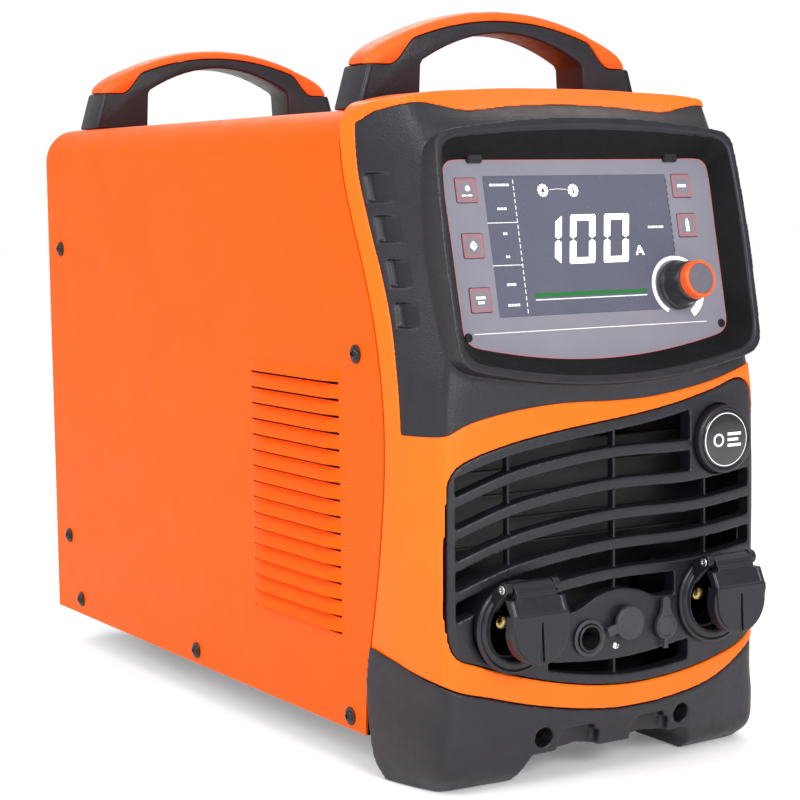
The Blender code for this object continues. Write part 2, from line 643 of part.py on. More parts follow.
def front_grille():
    """Black inlet grille: arched bars, thin ribs behind them and the connector plate below."""
    xs = [-GRILLE_HALF, -0.112, -0.090, -0.062, -0.032]
    xs = xs + [0.0] + [-x for x in reversed(xs)]
    rows = []
    for t in spread(0.0, 1.0, 3):
        heights = [(x, 0.04 + t * 0.22) for x in xs]
        rows.append([(x, grille_front(x), z) for x, z in heights]
                    + [(x, grille_front(x) + 0.011, z) for x, z in reversed(heights)])
    grille = place("front_grille", loft_mesh(rows), paint("black_textured_plastic", BLACK, 0.55))
    boolean(grille, place("grille_edge", prism_mesh(grille_outline(0.0), "y", -0.05, 0.06)), "INTERSECT")
    full = GRILLE_HALF - 0.0044
    slots = [slot(bar_edge(BAR_TOPS[0]), lambda x: grille_top(x) - 0.0070, -full, 0.0600),
             slot(bar_edge(BAR_TOPS[1]), bar_edge(BAR_TOPS[0], BAR_THICK), -full, 0.0600)]
    for upper, lower in zip(BAR_TOPS[1:], BAR_TOPS[2:]):
        slots.append(slot(bar_edge(lower), bar_edge(upper, BAR_THICK), -full, full))
    slots.append(slot(plate_top, bar_edge(BAR_TOPS[-1], BAR_THICK), -0.046, 0.046))
    slots.append(slot(lambda x: grille_bottom(x) + 0.0065, plate_bottom, -0.052, 0.058))
    cut(grille, place("grille_slots", merged(*slots)))
    ribs = merged(*[box_mesh((x - 0.0008, grille_front(x) + 0.004, grille_bottom(x) + 0.004),
                             (x + 0.0008, grille_front(x) + 0.0098, grille_top(x) - 0.004))
                    for x in (-RIB_X, 0.0, RIB_X)])
    join(grille, place("grille_ribs", ribs))
    holes = merged(rod_mesh("y", 0.0262, -0.03, 0.05, (-SOCKET_X, SOCKET_Z), 32),
                   rod_mesh("y", 0.0262, -0.03, 0.05, (SOCKET_X, SOCKET_Z), 32),
                   rod_mesh("y", TORCH_R + GAP, -0.03, 0.05, (TORCH_X, TORCH_Z), 20),
                   rod_mesh("y", 0.0062, -0.03, 0.05, (CONTROL_X, CONTROL_Z), 16),
                   rod_mesh("y", BADGE_R + GAP, -0.03, 0.05, (BADGE_X, BADGE_Z), 32))
    cut(grille, place("grille_holes", holes))
    return grille


def front_bumper():
    """Black lower front with two moulded feet, an arch between them and two round ports."""
    plan = {0.0: (0.1300, 0.0680, 0.1175, 0.0254, 0.0210), 0.008: (0.1335, 0.0740, 0.1215, 0.0150, 0.0130),
            0.024: (0.1362, 0.0766, 0.1225, 0.0115, 0.0060), 0.045: (0.1370, 0.0785, 0.1200, 0.0105, 0.0018),
            0.064: (0.1370, 0.0770, 0.1195, 0.0100, 0.0004)}
    rows = []
    for z, (back_x, back_y, corner_x, corner_y, middle_y) in plan.items():
        def height(x, share=z / max(plan)):
            return share * (bumper_top(x) - GAP)
        rows.append(wrapped_ring((corner_x, corner_y), back_x, middle_y,
                                 lambda z, back_y=back_y: min(back_y, seam_depth(z)), height))
    bumper = place("front_bumper", loft_mesh(rows, pointed=True),
                   paint("black_textured_plastic", BLACK, 0.55))
    arch = [(-0.0690, -0.02), (-0.0655, 0.008), (-0.0600, 0.0180), (-0.0440, 0.0185), (-0.0250, 0.0205),
            (-0.0120, 0.0180), (0.0120, 0.0180), (0.0250, 0.0205), (0.0440, 0.0185), (0.0600, 0.0180),
            (0.0655, 0.008), (0.0690, -0.02)]
    hollow = box_mesh((-0.1190, 0.0160, 0.0220), (0.1190, 0.1500, 0.1000))
    pockets = merged(box_mesh((-0.0430, -0.01, 0.0130), (-0.0125, 0.0105, 0.0330)),
                     box_mesh((0.0125, -0.01, 0.0130), (0.0430, 0.0105, 0.0330)),
                     rod_mesh("y", 0.0062, -0.01, 0.0130, (-0.0535, 0.0290), 16),
                     rod_mesh("y", 0.0062, -0.01, 0.0130, (0.0535, 0.0290), 16))
    cut(bumper, place("bumper_arch", prism_mesh(arch, "y", -0.05, 0.15)), place("bumper_hollow", hollow),
        place("bumper_pockets", pockets))
    return bumper


def badge():
    disc = place("badge", rod_mesh("y", BADGE_R, -0.0020, 0.0140, (BADGE_X, BADGE_Z), 32),
                 paint("gloss_black", (0.02, 0.02, 0.024), 0.25))
    soften(disc, 0.0012, 1)
    return disc


# ---- display and its controls -------------------------------------------------------------------
def display_fascia():
    """Flat display panel with holes for five buttons and the knob's shaft."""
    back = -FASCIA_SET_BACK - 0.003
    outline = fascia_outline()
    data = bmesh.new()
    rings = [[data.verts.new((x, y, n)) for x, y in outline] for n in (back, -FASCIA_SET_BACK)]
    for i in range(len(outline)):
        j = (i + 1) % len(outline)
        data.faces.new((rings[0][i], rings[0][j], rings[1][j], rings[1][i]))
    data.faces.new(rings[0])
    data.faces.new(rings[1])
    bmesh.ops.recalc_face_normals(data, faces=data.faces)
    fascia = place("display_fascia", data, paint("grey_film", (0.22, 0.21, 0.28), 0.4), parent=display_empty)
    side = BUTTON_SIZE / 2 + GAP
    holes = [box_mesh((x - side, FASCIA_TOP - s - side, back - 0.01), (x + side, FASCIA_TOP - s + side, 0.0))
             for x, s in BUTTONS.values()]
    holes.append(rod_mesh("z", 0.0037, back - 0.01, 0.0, (KNOB_X, FASCIA_TOP - KNOB_DOWN), 16))
    holes.append(box_mesh((-0.0745, FASCIA_TOP - 0.0973, -FASCIA_SET_BACK - 0.0013),
                          (0.0443, FASCIA_TOP - 0.0101, 0.0)))
    cut(fascia, place("fascia_holes", merged(*holes), parent=display_empty))
    return fascia


def display_glass():
    glass = box_mesh((-0.0742, FASCIA_TOP - 0.0970, -FASCIA_SET_BACK - 0.0010),
                     (0.0440, FASCIA_TOP - 0.0104, -FASCIA_SET_BACK))
    return place("display_glass", glass, paint("display_window", (0.17, 0.18, 0.25), 0.15),
                 parent=display_empty)


def buttons():
    """Five square keys; each slides into the fascia."""
    for name, (x, s) in BUTTONS.items():
        half = BUTTON_SIZE / 2
        key = box_mesh((-half, -half, -0.0036), (half, half, 0.0006))
        key = place(name, key, paint("grey_key", (0.20, 0.19, 0.25), 0.45),
                    at=(x, FASCIA_TOP - s, -FASCIA_SET_BACK), parent=display_empty)
        soften(key, 0.0004, 1)


def turned(name, profile, material, at, parent, sides=32):
    """A turned piece: the profile's (radius, length) points run down its outer side."""
    data = bmesh.new()
    closed = profile[0] == profile[-1]
    points = [data.verts.new((radius, 0.0, length)) for radius, length in profile[:-1 if closed else None]]
    for a, b in zip(points, points[1:] + points[:1] if closed else points[1:]):
        data.edges.new((a, b))
    made = place(name, data, material, at=at, parent=parent)
    spin = made.modifiers.new("turned", "SCREW")
    spin.steps = spin.render_steps = sides
    spin.use_merge_vertices = True
    spin.merge_threshold = 1e-5
    return made


def knob_and_encoder():
    """Knob in two colours on the shaft of a push encoder."""
    at = (KNOB_X, FASCIA_TOP - KNOB_DOWN, -FASCIA_SET_BACK)
    knob = turned("knob_body", [(0, 0.0262), (0.0094, 0.0262), (0.0094, 0.0188), (0.0126, 0.0176),
                                (0.0140, 0.0096), (0.0150, 0.0056), (0.0156, 0.0050), (0.0157, 0.0016),
                                (0.0045, 0.0016), (0.0045, 0.0020), (0.0033, 0.0020), (0.0033, 0.0180),
                                (0, 0.0180)],
                  paint("knob_black", (0.03, 0.03, 0.036), 0.4), at, display_empty, 24)
    ring_part = turned("knob_ring", [(0.0097, 0.0258), (0.0112, 0.0258), (0.0118, 0.0250), (0.0121, 0.0191),
                                     (0.0097, 0.0191), (0.0097, 0.0258)],
                       paint("orange_plastic", ORANGE, 0.45), at, display_empty, 24)
    body = place("encoder_body", box_mesh((-0.007, -0.007, -0.0125), (0.007, 0.007, -0.0040)),
                 paint("encoder_metal", (0.5, 0.5, 0.5), 0.3, 0.9), at=at, parent=display_empty)
    bore = rod_mesh("z", 0.0034, -0.0120, 0.01, (0, 0), 16)
    cut(body, place("encoder_bore", bore, at=at, parent=display_empty))
    shaft = place("encoder_shaft", rod_mesh("z", 0.0030, -0.0100, 0.0170, (0, 0), 16),
                  paint("encoder_metal", (0.5, 0.5, 0.5), 0.3, 0.9), at=at, parent=display_empty)
    return knob, ring_part, body, shaft


def control_board():
    board = box_mesh((-0.0900, -0.0900, -0.0360), (0.0900, -0.0040, -0.0344))
    return place("control_board", board, paint("green_board", (0.02, 0.16, 0.06), 0.4), parent=display_empty)


# ---- sockets on the front ------------------------------------------------------------------------
def socket(word, x):
    """Round power socket: flange, deep bore, contact pin, hinge pin and a sprung lid."""
    plastic = paint("black_smooth_plastic", (0.03, 0.03, 0.036), 0.4)
    at = (x, SOCKET_DEPTH, SOCKET_Z)
    housing = place(f"{word}_socket_housing", rod_mesh("y", SOCKET_FLANGE_R, -0.0047, -0.0015, (0, 0), 32),
                    plastic, at=at)
    barrel = rod_mesh("y", 0.0255, -0.0030, 0.0440, (0, 0), 24)
    arms = []
    outline = [(-0.0030, 0.0120), (-0.0030, 0.0255), (-LID_HINGE_FORWARD, LID_HINGE_UP + 0.0045)]
    outline += [(-LID_HINGE_FORWARD - a, LID_HINGE_UP + b) for a, b in
                ((0.0032, 0.0032), (0.0045, 0.0), (0.0032, -0.0032), (0.0, -0.0045))]
    for side in (-1, 1):
        arms.append(prism_mesh(outline, "x", side * 0.0165 - 0.0016, side * 0.0165 + 0.0016))
    join(housing, place("socket_barrel", barrel, at=at), place("socket_arms", merged(*arms), at=at))
    bores = stepped_rod([(SOCKET_BORE_R, -0.0200), (SOCKET_BORE_R, 0.0380),
                         (0.0048, 0.0380), (0.0048, 0.0600)])
    pin_hole = rod_mesh("x", 0.0023, -0.0300, 0.0300, (-LID_HINGE_FORWARD, LID_HINGE_UP), 12)
    cut(housing, place("socket_bores", bores, at=at), place("socket_pin_hole", pin_hole, at=at))
    place(f"{word}_socket_contact", rod_mesh("y", 0.0045, 0.0130, 0.0560, (0, 0), 16),
          paint("brass", (0.75, 0.55, 0.25), 0.25, 1.0), at=at)
    hinge = (x, at[1] - LID_HINGE_FORWARD, SOCKET_Z + LID_HINGE_UP)
    pin = place(f"{word}_hinge_pin", rod_mesh("x", 0.0019, -0.0190, 0.0190, (0, 0), 12),
                paint("steel", (0.7, 0.7, 0.72), 0.25, 1.0), at=hinge)
    heads = merged(rod_mesh("x", 0.0034, -0.0205, -0.0184, (0, 0), 16),
                   rod_mesh("x", 0.0034, 0.0184, 0.0205, (0, 0), 16))
    join(pin, place("pin_heads", heads, at=hinge))
    socket_lid(word, hinge, plastic)


def socket_lid(word, hinge, plastic):
    """Lid, held ajar: a sloping label panel, then an upright cup with a round foot."""
    lid = place(f"{word}_socket_lid", rod_mesh("x", 0.0038, -0.0144, 0.0144, (0, 0), 16), plastic, at=hinge)
    foot_z = 0.002 - LID_HINGE_UP
    face = LID_FACE
    round_foot = arc(0.0, foot_z, 0.0208, 180, 360, 13)
    cup = prism_mesh([(0.0195, -0.0130), (-0.0195, -0.0130)] + round_foot, "y", face, face + 0.0095)
    panel = prism_mesh([(-0.0036, 0.0010), (-0.0012, -0.0016), (face + 0.0038, -0.0150), (face, -0.0150),
                        (face, -0.0130)], "x", -0.0195, 0.0195)
    trim = merged(*[prism_mesh([(side * 0.0144, 0.0060), (side * 0.0230, 0.0060), (side * 0.0230, -0.0052),
                                (side * 0.0144, -0.0052)], "y", -0.0300, 0.0100) for side in (-1, 1)])
    inner_foot = arc(0.0, foot_z, 0.0182, 180, 360, 13)
    hollow = prism_mesh([(0.0170, -0.0165), (-0.0170, -0.0165)] + inner_foot,
                        "y", face + 0.0030, face + 0.0300)
    groove = prism_mesh([(0.0, foot_z + 0.002), (-0.0016, foot_z - 0.0300), (0.0016, foot_z - 0.0300)],
                        "y", face - 0.01, face + 0.0012)
    bore = rod_mesh("x", 0.0023, -0.0300, 0.0300, (0, 0), 12)
    join(lid, place("lid_cup", cup, at=hinge), place("lid_panel", panel, at=hinge))
    cut(lid, place("lid_trim", trim, at=hinge), place("lid_hollow", hollow, at=hinge),
        place("lid_groove", groove, at=hinge), place("lid_bore", bore, at=hinge))
    return lid


def torch_connector():
    """Round recessed connector for the torch's control plug, and its swung-open dust cap."""
    rubber = paint("soft_black", (0.035, 0.035, 0.04), 0.6)
    body = place("torch_connector", rod_mesh("y", TORCH_R, -0.0022, 0.0300, (TORCH_X, TORCH_Z), 20),
                 paint("black_smooth_plastic", (0.03, 0.03, 0.036), 0.4))
    cut(body, place("torch_bore", rod_mesh("y", TORCH_R - 0.0016, -0.0100, 0.0220, (TORCH_X, TORCH_Z), 20)))
    swing = ((TORCH_X + CAP_X) / 2, -0.0045, (TORCH_Z + CAP_Z) / 2)
    reach = math.hypot(CAP_X - TORCH_X, CAP_Z - TORCH_Z) / 2
    turn = (0, -math.atan2(CAP_Z - TORCH_Z, CAP_X - TORCH_X), 0)
    disc = rod_mesh("y", 0.0108, -0.0020, 0.0012, (reach, 0.0), 24)
    cap = place("torch_cap", disc, rubber, at=swing, turn=turn)
    strap = box_mesh((-0.0012, -0.0016, -0.0040), (0.0060, 0.0008, 0.0040))
    join(cap, place("cap_strap", strap, at=swing, turn=turn))
    pivot = (CONTROL_X, -0.0022, CONTROL_Z + 0.0170)
    drop = rod_mesh("y", CONTROL_R, -0.0018, 0.0018, (0.0, -0.0170), 24)
    flap = place("control_cap", drop, rubber, at=pivot)
    arm = box_mesh((-0.0030, -0.0010, -0.0110), (0.0030, 0.0016, 0.0))
    tab = box_mesh((-0.0012, -0.0008, -0.0290), (0.0012, 0.0012, -0.0240))
    join(flap, place("flap_arm", arm, at=pivot), place("flap_tab", tab, at=pivot))


# ---- handles ---------------------------------------------------------------------------------------
def grip_line(x):
    """Height of the joint between the black handle and its orange grip."""
    ease = min(max((0.0880 - abs(x)) / 0.0200, 0.0), 1.0)
    ease = ease * ease * (3 - 2 * ease)
    arch = 0.4729 - 2.6 * x * x
    return 0.4437 * (1 - ease) + arch * ease


def handle(word, front):
    """Transverse carrying handle: black bridge on the case top, orange grip on the bridge."""
    back = front + HANDLE_THICK
    base = CASE_TOP + GAP
    tip_x = HANDLE_SPAN_TIP
    line = [(x, grip_line(x)) for x in (0.0, 0.020, 0.040, 0.056, 0.068, 0.074, 0.080, 0.086, tip_x)]
    leg = [(HANDLE_SPAN_BASE, base), (HANDLE_OPENING + 0.0015, base), (HANDLE_OPENING, 0.4457)]
    under = [(x, 0.465 - 0.0193 * (x / HANDLE_OPENING)**2) for x in (0.052, 0.038, 0.022, 0.0)]
    bridge = place(f"{word}_handle", prism_mesh(mirrored_outline(line + leg + under), "y", front, back),
                   paint("black_textured_plastic", BLACK, 0.55))
    soften(bridge, 0.0020, 2)
    lower = [(x, z + GAP) for x, z in reversed(line)]
    upper = [(x, HANDLE_TOP - 2.75 * x * x) for x in (0.0, 0.022, 0.044, 0.064, 0.082, 0.094)]
    nose = [(0.0995, 0.4515), (tip_x - 0.0006, 0.4478)]
    grip = place(f"{word}_handle_grip", prism_mesh(mirrored_outline(upper + nose + lower), "y", front, back),
                 paint("orange_grip", ORANGE, 0.5))
    soften(grip, 0.0030, 2, 50)


# ---- rear fittings and the inside -----------------------------------------------------------------
def rear_fittings():
    """Fan, guard, switch, cable gland and air inlet on the rear panel."""
    skin = CASE_REAR - 0.002
    plastic = paint("black_smooth_plastic", (0.03, 0.03, 0.036), 0.4)
    steel = paint("steel", (0.7, 0.7, 0.72), 0.25, 1.0)
    frame_back = skin - 0.002 - GAP
    frame = place("fan_frame", box_mesh((-0.060, frame_back - 0.025, FAN_Z - 0.060),
                                        (0.060, frame_back, FAN_Z + 0.060)), plastic)
    cut(frame, place("fan_bore", rod_mesh("y", FAN_R - 0.0005, 0.50, 0.60, (0, FAN_Z), 36)))
    hub = rod_mesh("y", 0.0190, frame_back - 0.0249, frame_back - 0.0215, (0, FAN_Z), 20)
    spoke = box_mesh((-0.058, frame_back - 0.0247, FAN_Z - 0.002),
                     (0.058, frame_back - 0.0223, FAN_Z + 0.002))
    column = rod_mesh("y", 0.0030, frame_back - 0.0230, frame_back - 0.0060, (0, FAN_Z), 12)
    join(frame, place("stator_hub", hub), place("stator_spoke", spoke), place("stator_column", column))
    rotor_at = (0, frame_back - 0.0110, FAN_Z)
    rotor = place("fan_rotor", rod_mesh("y", 0.0200, -0.0095, 0.0085, (0, 0), 24), plastic, at=rotor_at)
    blades = []
    for k in range(7):
        data = box_mesh((0.0185, -0.0011, -0.0110), (0.0540, 0.0011, 0.0110))
        bmesh.ops.rotate(data, matrix=Matrix.Rotation(math.radians(48), 3, "X"), verts=data.verts)
        bmesh.ops.rotate(data, matrix=Matrix.Rotation(2 * math.pi * k / 7, 3, "Y"), verts=data.verts)
        blades.append(data)
    join(rotor, place("fan_blades", merged(*blades), at=rotor_at))
    cut(rotor, place("rotor_bore", rod_mesh("y", 0.0034, -0.0200, 0.0060, (0, 0), 16), at=rotor_at))
    fan_guard(skin, steel)
    switch = place("power_switch", box_mesh((SWITCH_X - 0.0270, skin - 0.0500, SWITCH_Z - 0.0240),
                                            (SWITCH_X + 0.0270, skin + 0.0060, SWITCH_Z + 0.0240)), plastic)
    cut(switch, place("switch_slot", box_mesh((SWITCH_X - 0.0182, skin - 0.0130, SWITCH_Z - 0.0130),
                                              (SWITCH_X + 0.0182, skin + 0.0200, SWITCH_Z + 0.0130))))
    lever_at = (SWITCH_X, skin - 0.0030, SWITCH_Z)
    lever = place("power_switch_lever", rod_mesh("x", 0.0080, -0.0178, 0.0178, (0, 0), 20),
                  paint("lever_grey", (0.12, 0.12, 0.13), 0.4), at=lever_at)
    tongue = prism_mesh([(0.0, 0.0050), (0.0210, 0.0150), (0.0225, 0.0120), (0.0070, -0.0020)],
                        "x", -0.0178, 0.0178)
    join(lever, place("lever_tongue", tongue, at=lever_at))
    spot = (GLAND_X, GLAND_Z)
    gland = place("cable_gland", rod_mesh("y", GLAND_R, skin - 0.0200, skin + 0.0080, spot, 24), plastic)
    nut = rod_mesh("y", 0.0180, skin + GAP, skin + 0.0090, spot, 6)
    dome = rod_mesh("y", 0.0155, skin + 0.0080, REAR_REACH, spot, 24, end_radius=0.0110)
    join(gland, place("gland_nut", nut), place("gland_dome", dome))
    cut(gland, place("gland_bore", rod_mesh("y", 0.0070, 0.50, 0.65, spot, 20)))
    spot = (INLET_X, INLET_Z)
    inlet = place("air_inlet", rod_mesh("y", INLET_R, skin - 0.0250, skin + 0.0080, spot, 16),
                  paint("brass", (0.75, 0.55, 0.25), 0.25, 1.0))
    join(inlet, place("inlet_hex", rod_mesh("y", 0.0110, skin + GAP, skin + 0.0080, spot, 6)),
         place("inlet_nipple", rod_mesh("y", 0.0055, skin + 0.0070, skin + 0.0280, spot, 16)))
    cut(inlet, place("inlet_bore", rod_mesh("y", 0.0038, 0.50, 0.65, spot, 16)))


def fan_guard(skin, steel):
    """Guard of concentric flat rings on four spokes, bolted behind the fan."""
    near, far = skin + GAP, skin + 0.0024
    guard = place("fan_guard", rod_mesh("y", 0.0585, near, far, (0, FAN_Z), 28), steel)
    gaps = []
    for inner, outer in ((0.0150, 0.0225), (0.0255, 0.0330), (0.0360, 0.0435), (0.0465, 0.0540)):
        for quarter in range(4):
            trim_in, trim_out = math.degrees(0.0020 / inner), math.degrees(0.0020 / outer)
            start, end = quarter * 90, quarter * 90 + 90
            outline = arc(0, FAN_Z, outer, start + trim_out, end - trim_out, 4)
            outline += arc(0, FAN_Z, inner, end - trim_in, start + trim_in, 4)
            gaps.append(prism_mesh(outline, "y", near - 0.01, far + 0.01))
    cut(guard, place("guard_gaps", merged(*gaps)))


def inside_parts():
    """Power electronics and gas valve on the floor of the case."""
    floor = CASE_BOTTOM + SHEET + GAP
    core = place("main_transformer", box_mesh((-0.060, 0.235, floor), (0.060, 0.315, floor + 0.105)),
                 paint("ferrite", (0.06, 0.06, 0.065), 0.6))
    windows = merged(box_mesh((-0.042, 0.20, floor + 0.020), (-0.012, 0.35, floor + 0.085)),
                     box_mesh((0.012, 0.20, floor + 0.020), (0.042, 0.35, floor + 0.085)))
    cut(core, place("core_windows", windows))
    sink = place("heat_sink", box_mesh((-0.055, 0.350, floor + 0.040), (0.055, 0.520, floor + 0.125)),
                 paint("aluminium", (0.6, 0.6, 0.62), 0.35, 1.0))
    fins = [box_mesh((x - 0.0032, 0.33, floor + 0.050), (x + 0.0032, 0.54, floor + 0.140))
            for x in spread(-0.0472, 0.0472, 9)]
    cut(sink, place("fin_gaps", merged(*fins)))
    place("inverter_board", box_mesh((-0.060, 0.345, floor + 0.0330), (0.060, 0.525, floor + 0.0350)),
          paint("green_board", (0.02, 0.16, 0.06), 0.4))
    valve = place("solenoid_valve", box_mesh((INLET_X - 0.016, 0.470, INLET_Z - 0.016),
                                             (INLET_X + 0.016, 0.540, INLET_Z + 0.016)),
                  paint("brass", (0.75, 0.55, 0.25), 0.25, 1.0))
    coil = rod_mesh("z", 0.0150, INLET_Z + 0.0150, INLET_Z + 0.0500, (INLET_X, 0.500), 20)
    join(valve, place("valve_coil", coil))


def rear_feet():
    for side, word in ((-1, "left"), (1, "right")):
        foot = rod_mesh("z", 0.0150, 0.0, CASE_BOTTOM - GAP, (side * 0.060, 0.500), 24, end_radius=0.0170)
        place(f"rear_foot_{word}", foot, paint("rubber", (0.03, 0.03, 0.03), 0.8))


screw_holes_tool = screw_holes()
outer_cover()
base_pan()
rear_panel()
case_screws()
front_bezel()
display_hood()
front_grille()
front_bumper()
badge()
display_fascia()
display_glass()
buttons()
knob_and_encoder()
control_board()
socket("left", -SOCKET_X)
socket("right", SOCKET_X)
torch_connector()
for handle_word, handle_front in HANDLE_DEPTHS.items():
    handle(handle_word, handle_front)
rear_fittings()
inside_parts()
rear_feet()
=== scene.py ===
"""Looks of the plasma cutter unit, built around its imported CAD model.

Pieces are modelled like the CAD: x across, d for the depth from the middle of the grille, and z up.
"""
from math import acos, asin, atan2, cos, degrees, pi, radians, sin, sqrt

import bmesh
import bpy
from mathutils import Matrix, Vector


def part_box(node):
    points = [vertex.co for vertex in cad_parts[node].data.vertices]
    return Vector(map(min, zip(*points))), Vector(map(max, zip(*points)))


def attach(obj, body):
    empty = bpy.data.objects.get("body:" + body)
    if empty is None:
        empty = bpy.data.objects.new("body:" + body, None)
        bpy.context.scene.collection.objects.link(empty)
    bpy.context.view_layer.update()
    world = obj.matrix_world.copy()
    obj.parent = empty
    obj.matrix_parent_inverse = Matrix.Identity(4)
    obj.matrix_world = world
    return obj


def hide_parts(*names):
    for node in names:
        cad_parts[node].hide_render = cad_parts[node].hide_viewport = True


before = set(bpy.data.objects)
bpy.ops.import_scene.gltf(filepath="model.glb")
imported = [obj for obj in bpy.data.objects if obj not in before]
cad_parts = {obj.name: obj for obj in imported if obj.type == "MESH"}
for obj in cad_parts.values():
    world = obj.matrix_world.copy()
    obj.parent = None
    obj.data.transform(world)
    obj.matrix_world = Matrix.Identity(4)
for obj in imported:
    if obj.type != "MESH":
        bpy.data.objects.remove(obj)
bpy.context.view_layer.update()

# ---- driving dimensions, the same as the CAD's ----
HALF_WIDTH, CASE_TOP, CASE_BOTTOM, CASE_REAR = 0.135, 0.415, 0.0255, 0.578
SIDES = ((-1, "left"), (1, "right"))
SHEET, CORNER_R, GAP, SEAM, WALL = 0.0015, 0.026, 0.0003, 0.001, 0.003
TILT = radians(12)
FRAME_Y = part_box("outer_cover")[1].y - CASE_REAR
RIM_DEPTH, RIM_HEIGHT = 0.0232, 0.3771
SET_BACK, FASCIA_TOP = 0.0148, 0.0083
STRIP_WIDTH, HOOD_FRONT = 0.0125, -0.05
BADGE_AT = Vector((0.0852, 0, 0.2035))
SOCKET_X, SOCKET_DEPTH, SOCKET_Z = 0.077, 0.0026, 0.1018
TORCH_AT, CAP_AT, CONTROL_AT = (-0.0227, 0.0881), (0.0053, 0.095), (0.0356, 0.0887)

DEPTH_FRAME = Matrix.Translation((0, FRAME_Y, 0))
PANEL_FRAME = (DEPTH_FRAME @ Matrix.Translation((0, RIM_DEPTH, RIM_HEIGHT)) @ Matrix.Rotation(radians(90)
    - TILT, 4, "X"))


# A long lens, to the left of the front and level with the display: place, heading, dip and roll in degrees.
LENS, CAMERA_AT, HEADING, DIP, ROLL = 92.26, (-0.7724, -1.2896, 0.366), -31.674, 5.924, -0.7325


def make_camera():
    data = bpy.data.cameras.new("camera")
    data.lens, data.sensor_width = LENS, 36
    camera = bpy.data.objects.new("camera", data)
    bpy.context.scene.collection.objects.link(camera)
    turn = (Matrix.Rotation(radians(HEADING), 4, "Z") @ Matrix.Rotation(radians(90 - DIP), 4,
        "X") @ Matrix.Rotation(radians(ROLL), 4, "Z"))
    camera.matrix_world = Matrix.Translation(CAMERA_AT) @ turn
    bpy.context.scene.camera = camera


make_camera()


# ---- curves of the moulded front, the same as the CAD's ----
def mm(*points):
    """Metres, from points in millimetres."""
    return [tuple(round(value / 1000, 7) for value in point) for point in points]


def smooth_curve(*points):
    """A smooth function through points in millimetres, with straight ends."""
    xs, ys = zip(*mm(*points))
    steps = [(ys[i + 1] - ys[i]) / (xs[i + 1] - xs[i]) for i in range(len(xs) - 1)]
    slopes = [steps[0]] + [(a + b) / 2 for a, b in zip(steps, steps[1:])] + [steps[-1]]

    def value(x):
        if x <= xs[0]:
            return ys[0] + slopes[0] * (x - xs[0])
        if x >= xs[-1]:
            return ys[-1] + slopes[-1] * (x - xs[-1])
        i = max(k for k in range(len(xs) - 1) if xs[k] <= x)
        width = xs[i + 1] - xs[i]
        t = (x - xs[i]) / width
        return ((2 * t**3 - 3 * t**2 + 1) * ys[i] + (t**3 - 2 * t**2 + t) * width * slopes[i]
            + (3 * t**2 - 2 * t**3) * ys[i + 1] + (t**3 - t**2) * width * slopes[i + 1])
    return value


def even_curve(*half):
    """The same for a curve with equal halves, given from the middle outwards."""
    return smooth_curve(*[(-x, y) for x, y in half[:0:-1]], *half)


seam_depth = smooth_curve((0, 83), (63.5, 78), (137, 63.2), (215, 55.3), (277, 64.1), (316, 77.2),
    (346, 90), (375, 100.5), (404, 104.5), (430, 104.5))
corner_half = smooth_curve((0, 121), (100, 120), (235, 119), (300, 110.5), (390, 113), (430, 114))
corner_depth = smooth_curve((0, 10), (200, 10), (270, 13.5), (330, 24), (390, 38), (430, 56))
middle_depth = smooth_curve((0, 0), (220, 0), (234.5, 1), (246, -0.8), (310, 12), (390, 30), (405, 34.5),
    (416.5, 58), (427.5, 72))
crown_height = even_curve((0, 427.2), (58, 425.8), (116.5, 420), (130, 414.5), (135.5, 404))
hood_top = even_curve((0, 416.2), (40, 414.8), (78, 412), (95, 415), (109, 416.8), (120, 414.5),
    (129, 408.5), (135, 395))
hood_bottom = smooth_curve((-136, 218), (-118, 219), (-107, 224.5), (-85, 230), (-61, 233.3), (-38, 234.7),
    (0, 234), (27, 234.6), (79, 241.2), (118, 250), (136, 253))
grille_top = smooth_curve((-126, 196), (-112, 201.5), (-82, 210.8), (-41, 218), (0, 222.5), (46, 228.3),
    (106.5, 240.6), (126, 244))
grille_bottom = smooth_curve((-126, 90), (-104, 81), (-75, 71), (-45, 63), (0, 56), (49, 57), (82.5, 62),
    (110, 70), (126, 76))
bumper_top = smooth_curve((-137, 85), (-125, 71), (-90, 58), (-45, 47), (0, 41), (49, 42.6), (82.5, 49),
    (110, 63), (137, 85))
bar_shape = smooth_curve((-126.2, -27), (-117, -23.8), (-77.7, -10.3), (-38, -3.2), (0, 0), (60, -0.5),
    (109, 3), (126.2, 5))
plate_top = smooth_curve((-46, 104), (-30, 106.5), (-15, 113.5), (2, 116.3), (18, 113.5), (30, 108.5),
    (46, 107.5))
plate_bottom = smooth_curve((-60, 77), (-44, 74.9), (3.4, 72.3), (60, 77.5))
BAR_TOPS = (0.2053, 0.1855, 0.1665, 0.148, 0.1295)
BAR_THICK, GRILLE_HALF, GRILLE_DEEP, GRILLE_EDGE = 0.0067, 0.1182, 0.011, 0.0044
RIB_PLACES, RIB_HALF, SOCKET_HOLE = (-0.0765, 0, 0.0765), 0.0008, 0.0262
CELL = 0.0008    # of the voxel step that rounds the edges of the large mouldings
CROWN_FROM, SKIRT_TO, CROWN_MAX = 0.385, 0.11, 0.4272
# Grip notches: height of the middle, height, and the start and end along the wing.
NOTCHES = ((0.366, 0.0175, 0.32, 0.77), (0.341, 0.016, 0.34, 0.74), (0.3145, 0.0165, 0.32, 0.7),
    (0.2895, 0.015, 0.28, 0.69))
NOTCH_DEPTH = 0.0046


# ---- mesh tools ----
def spread(low, high, count):
    """Evenly spaced values, both ends included."""
    return [low + (high - low) * i / (count - 1) for i in range(count)]


def arc(cx, cz, radius, start, end, count):
    return [(cx + radius * cos(radians(a)), cz + radius * sin(radians(a)))
        for a in spread(start, end, count)]


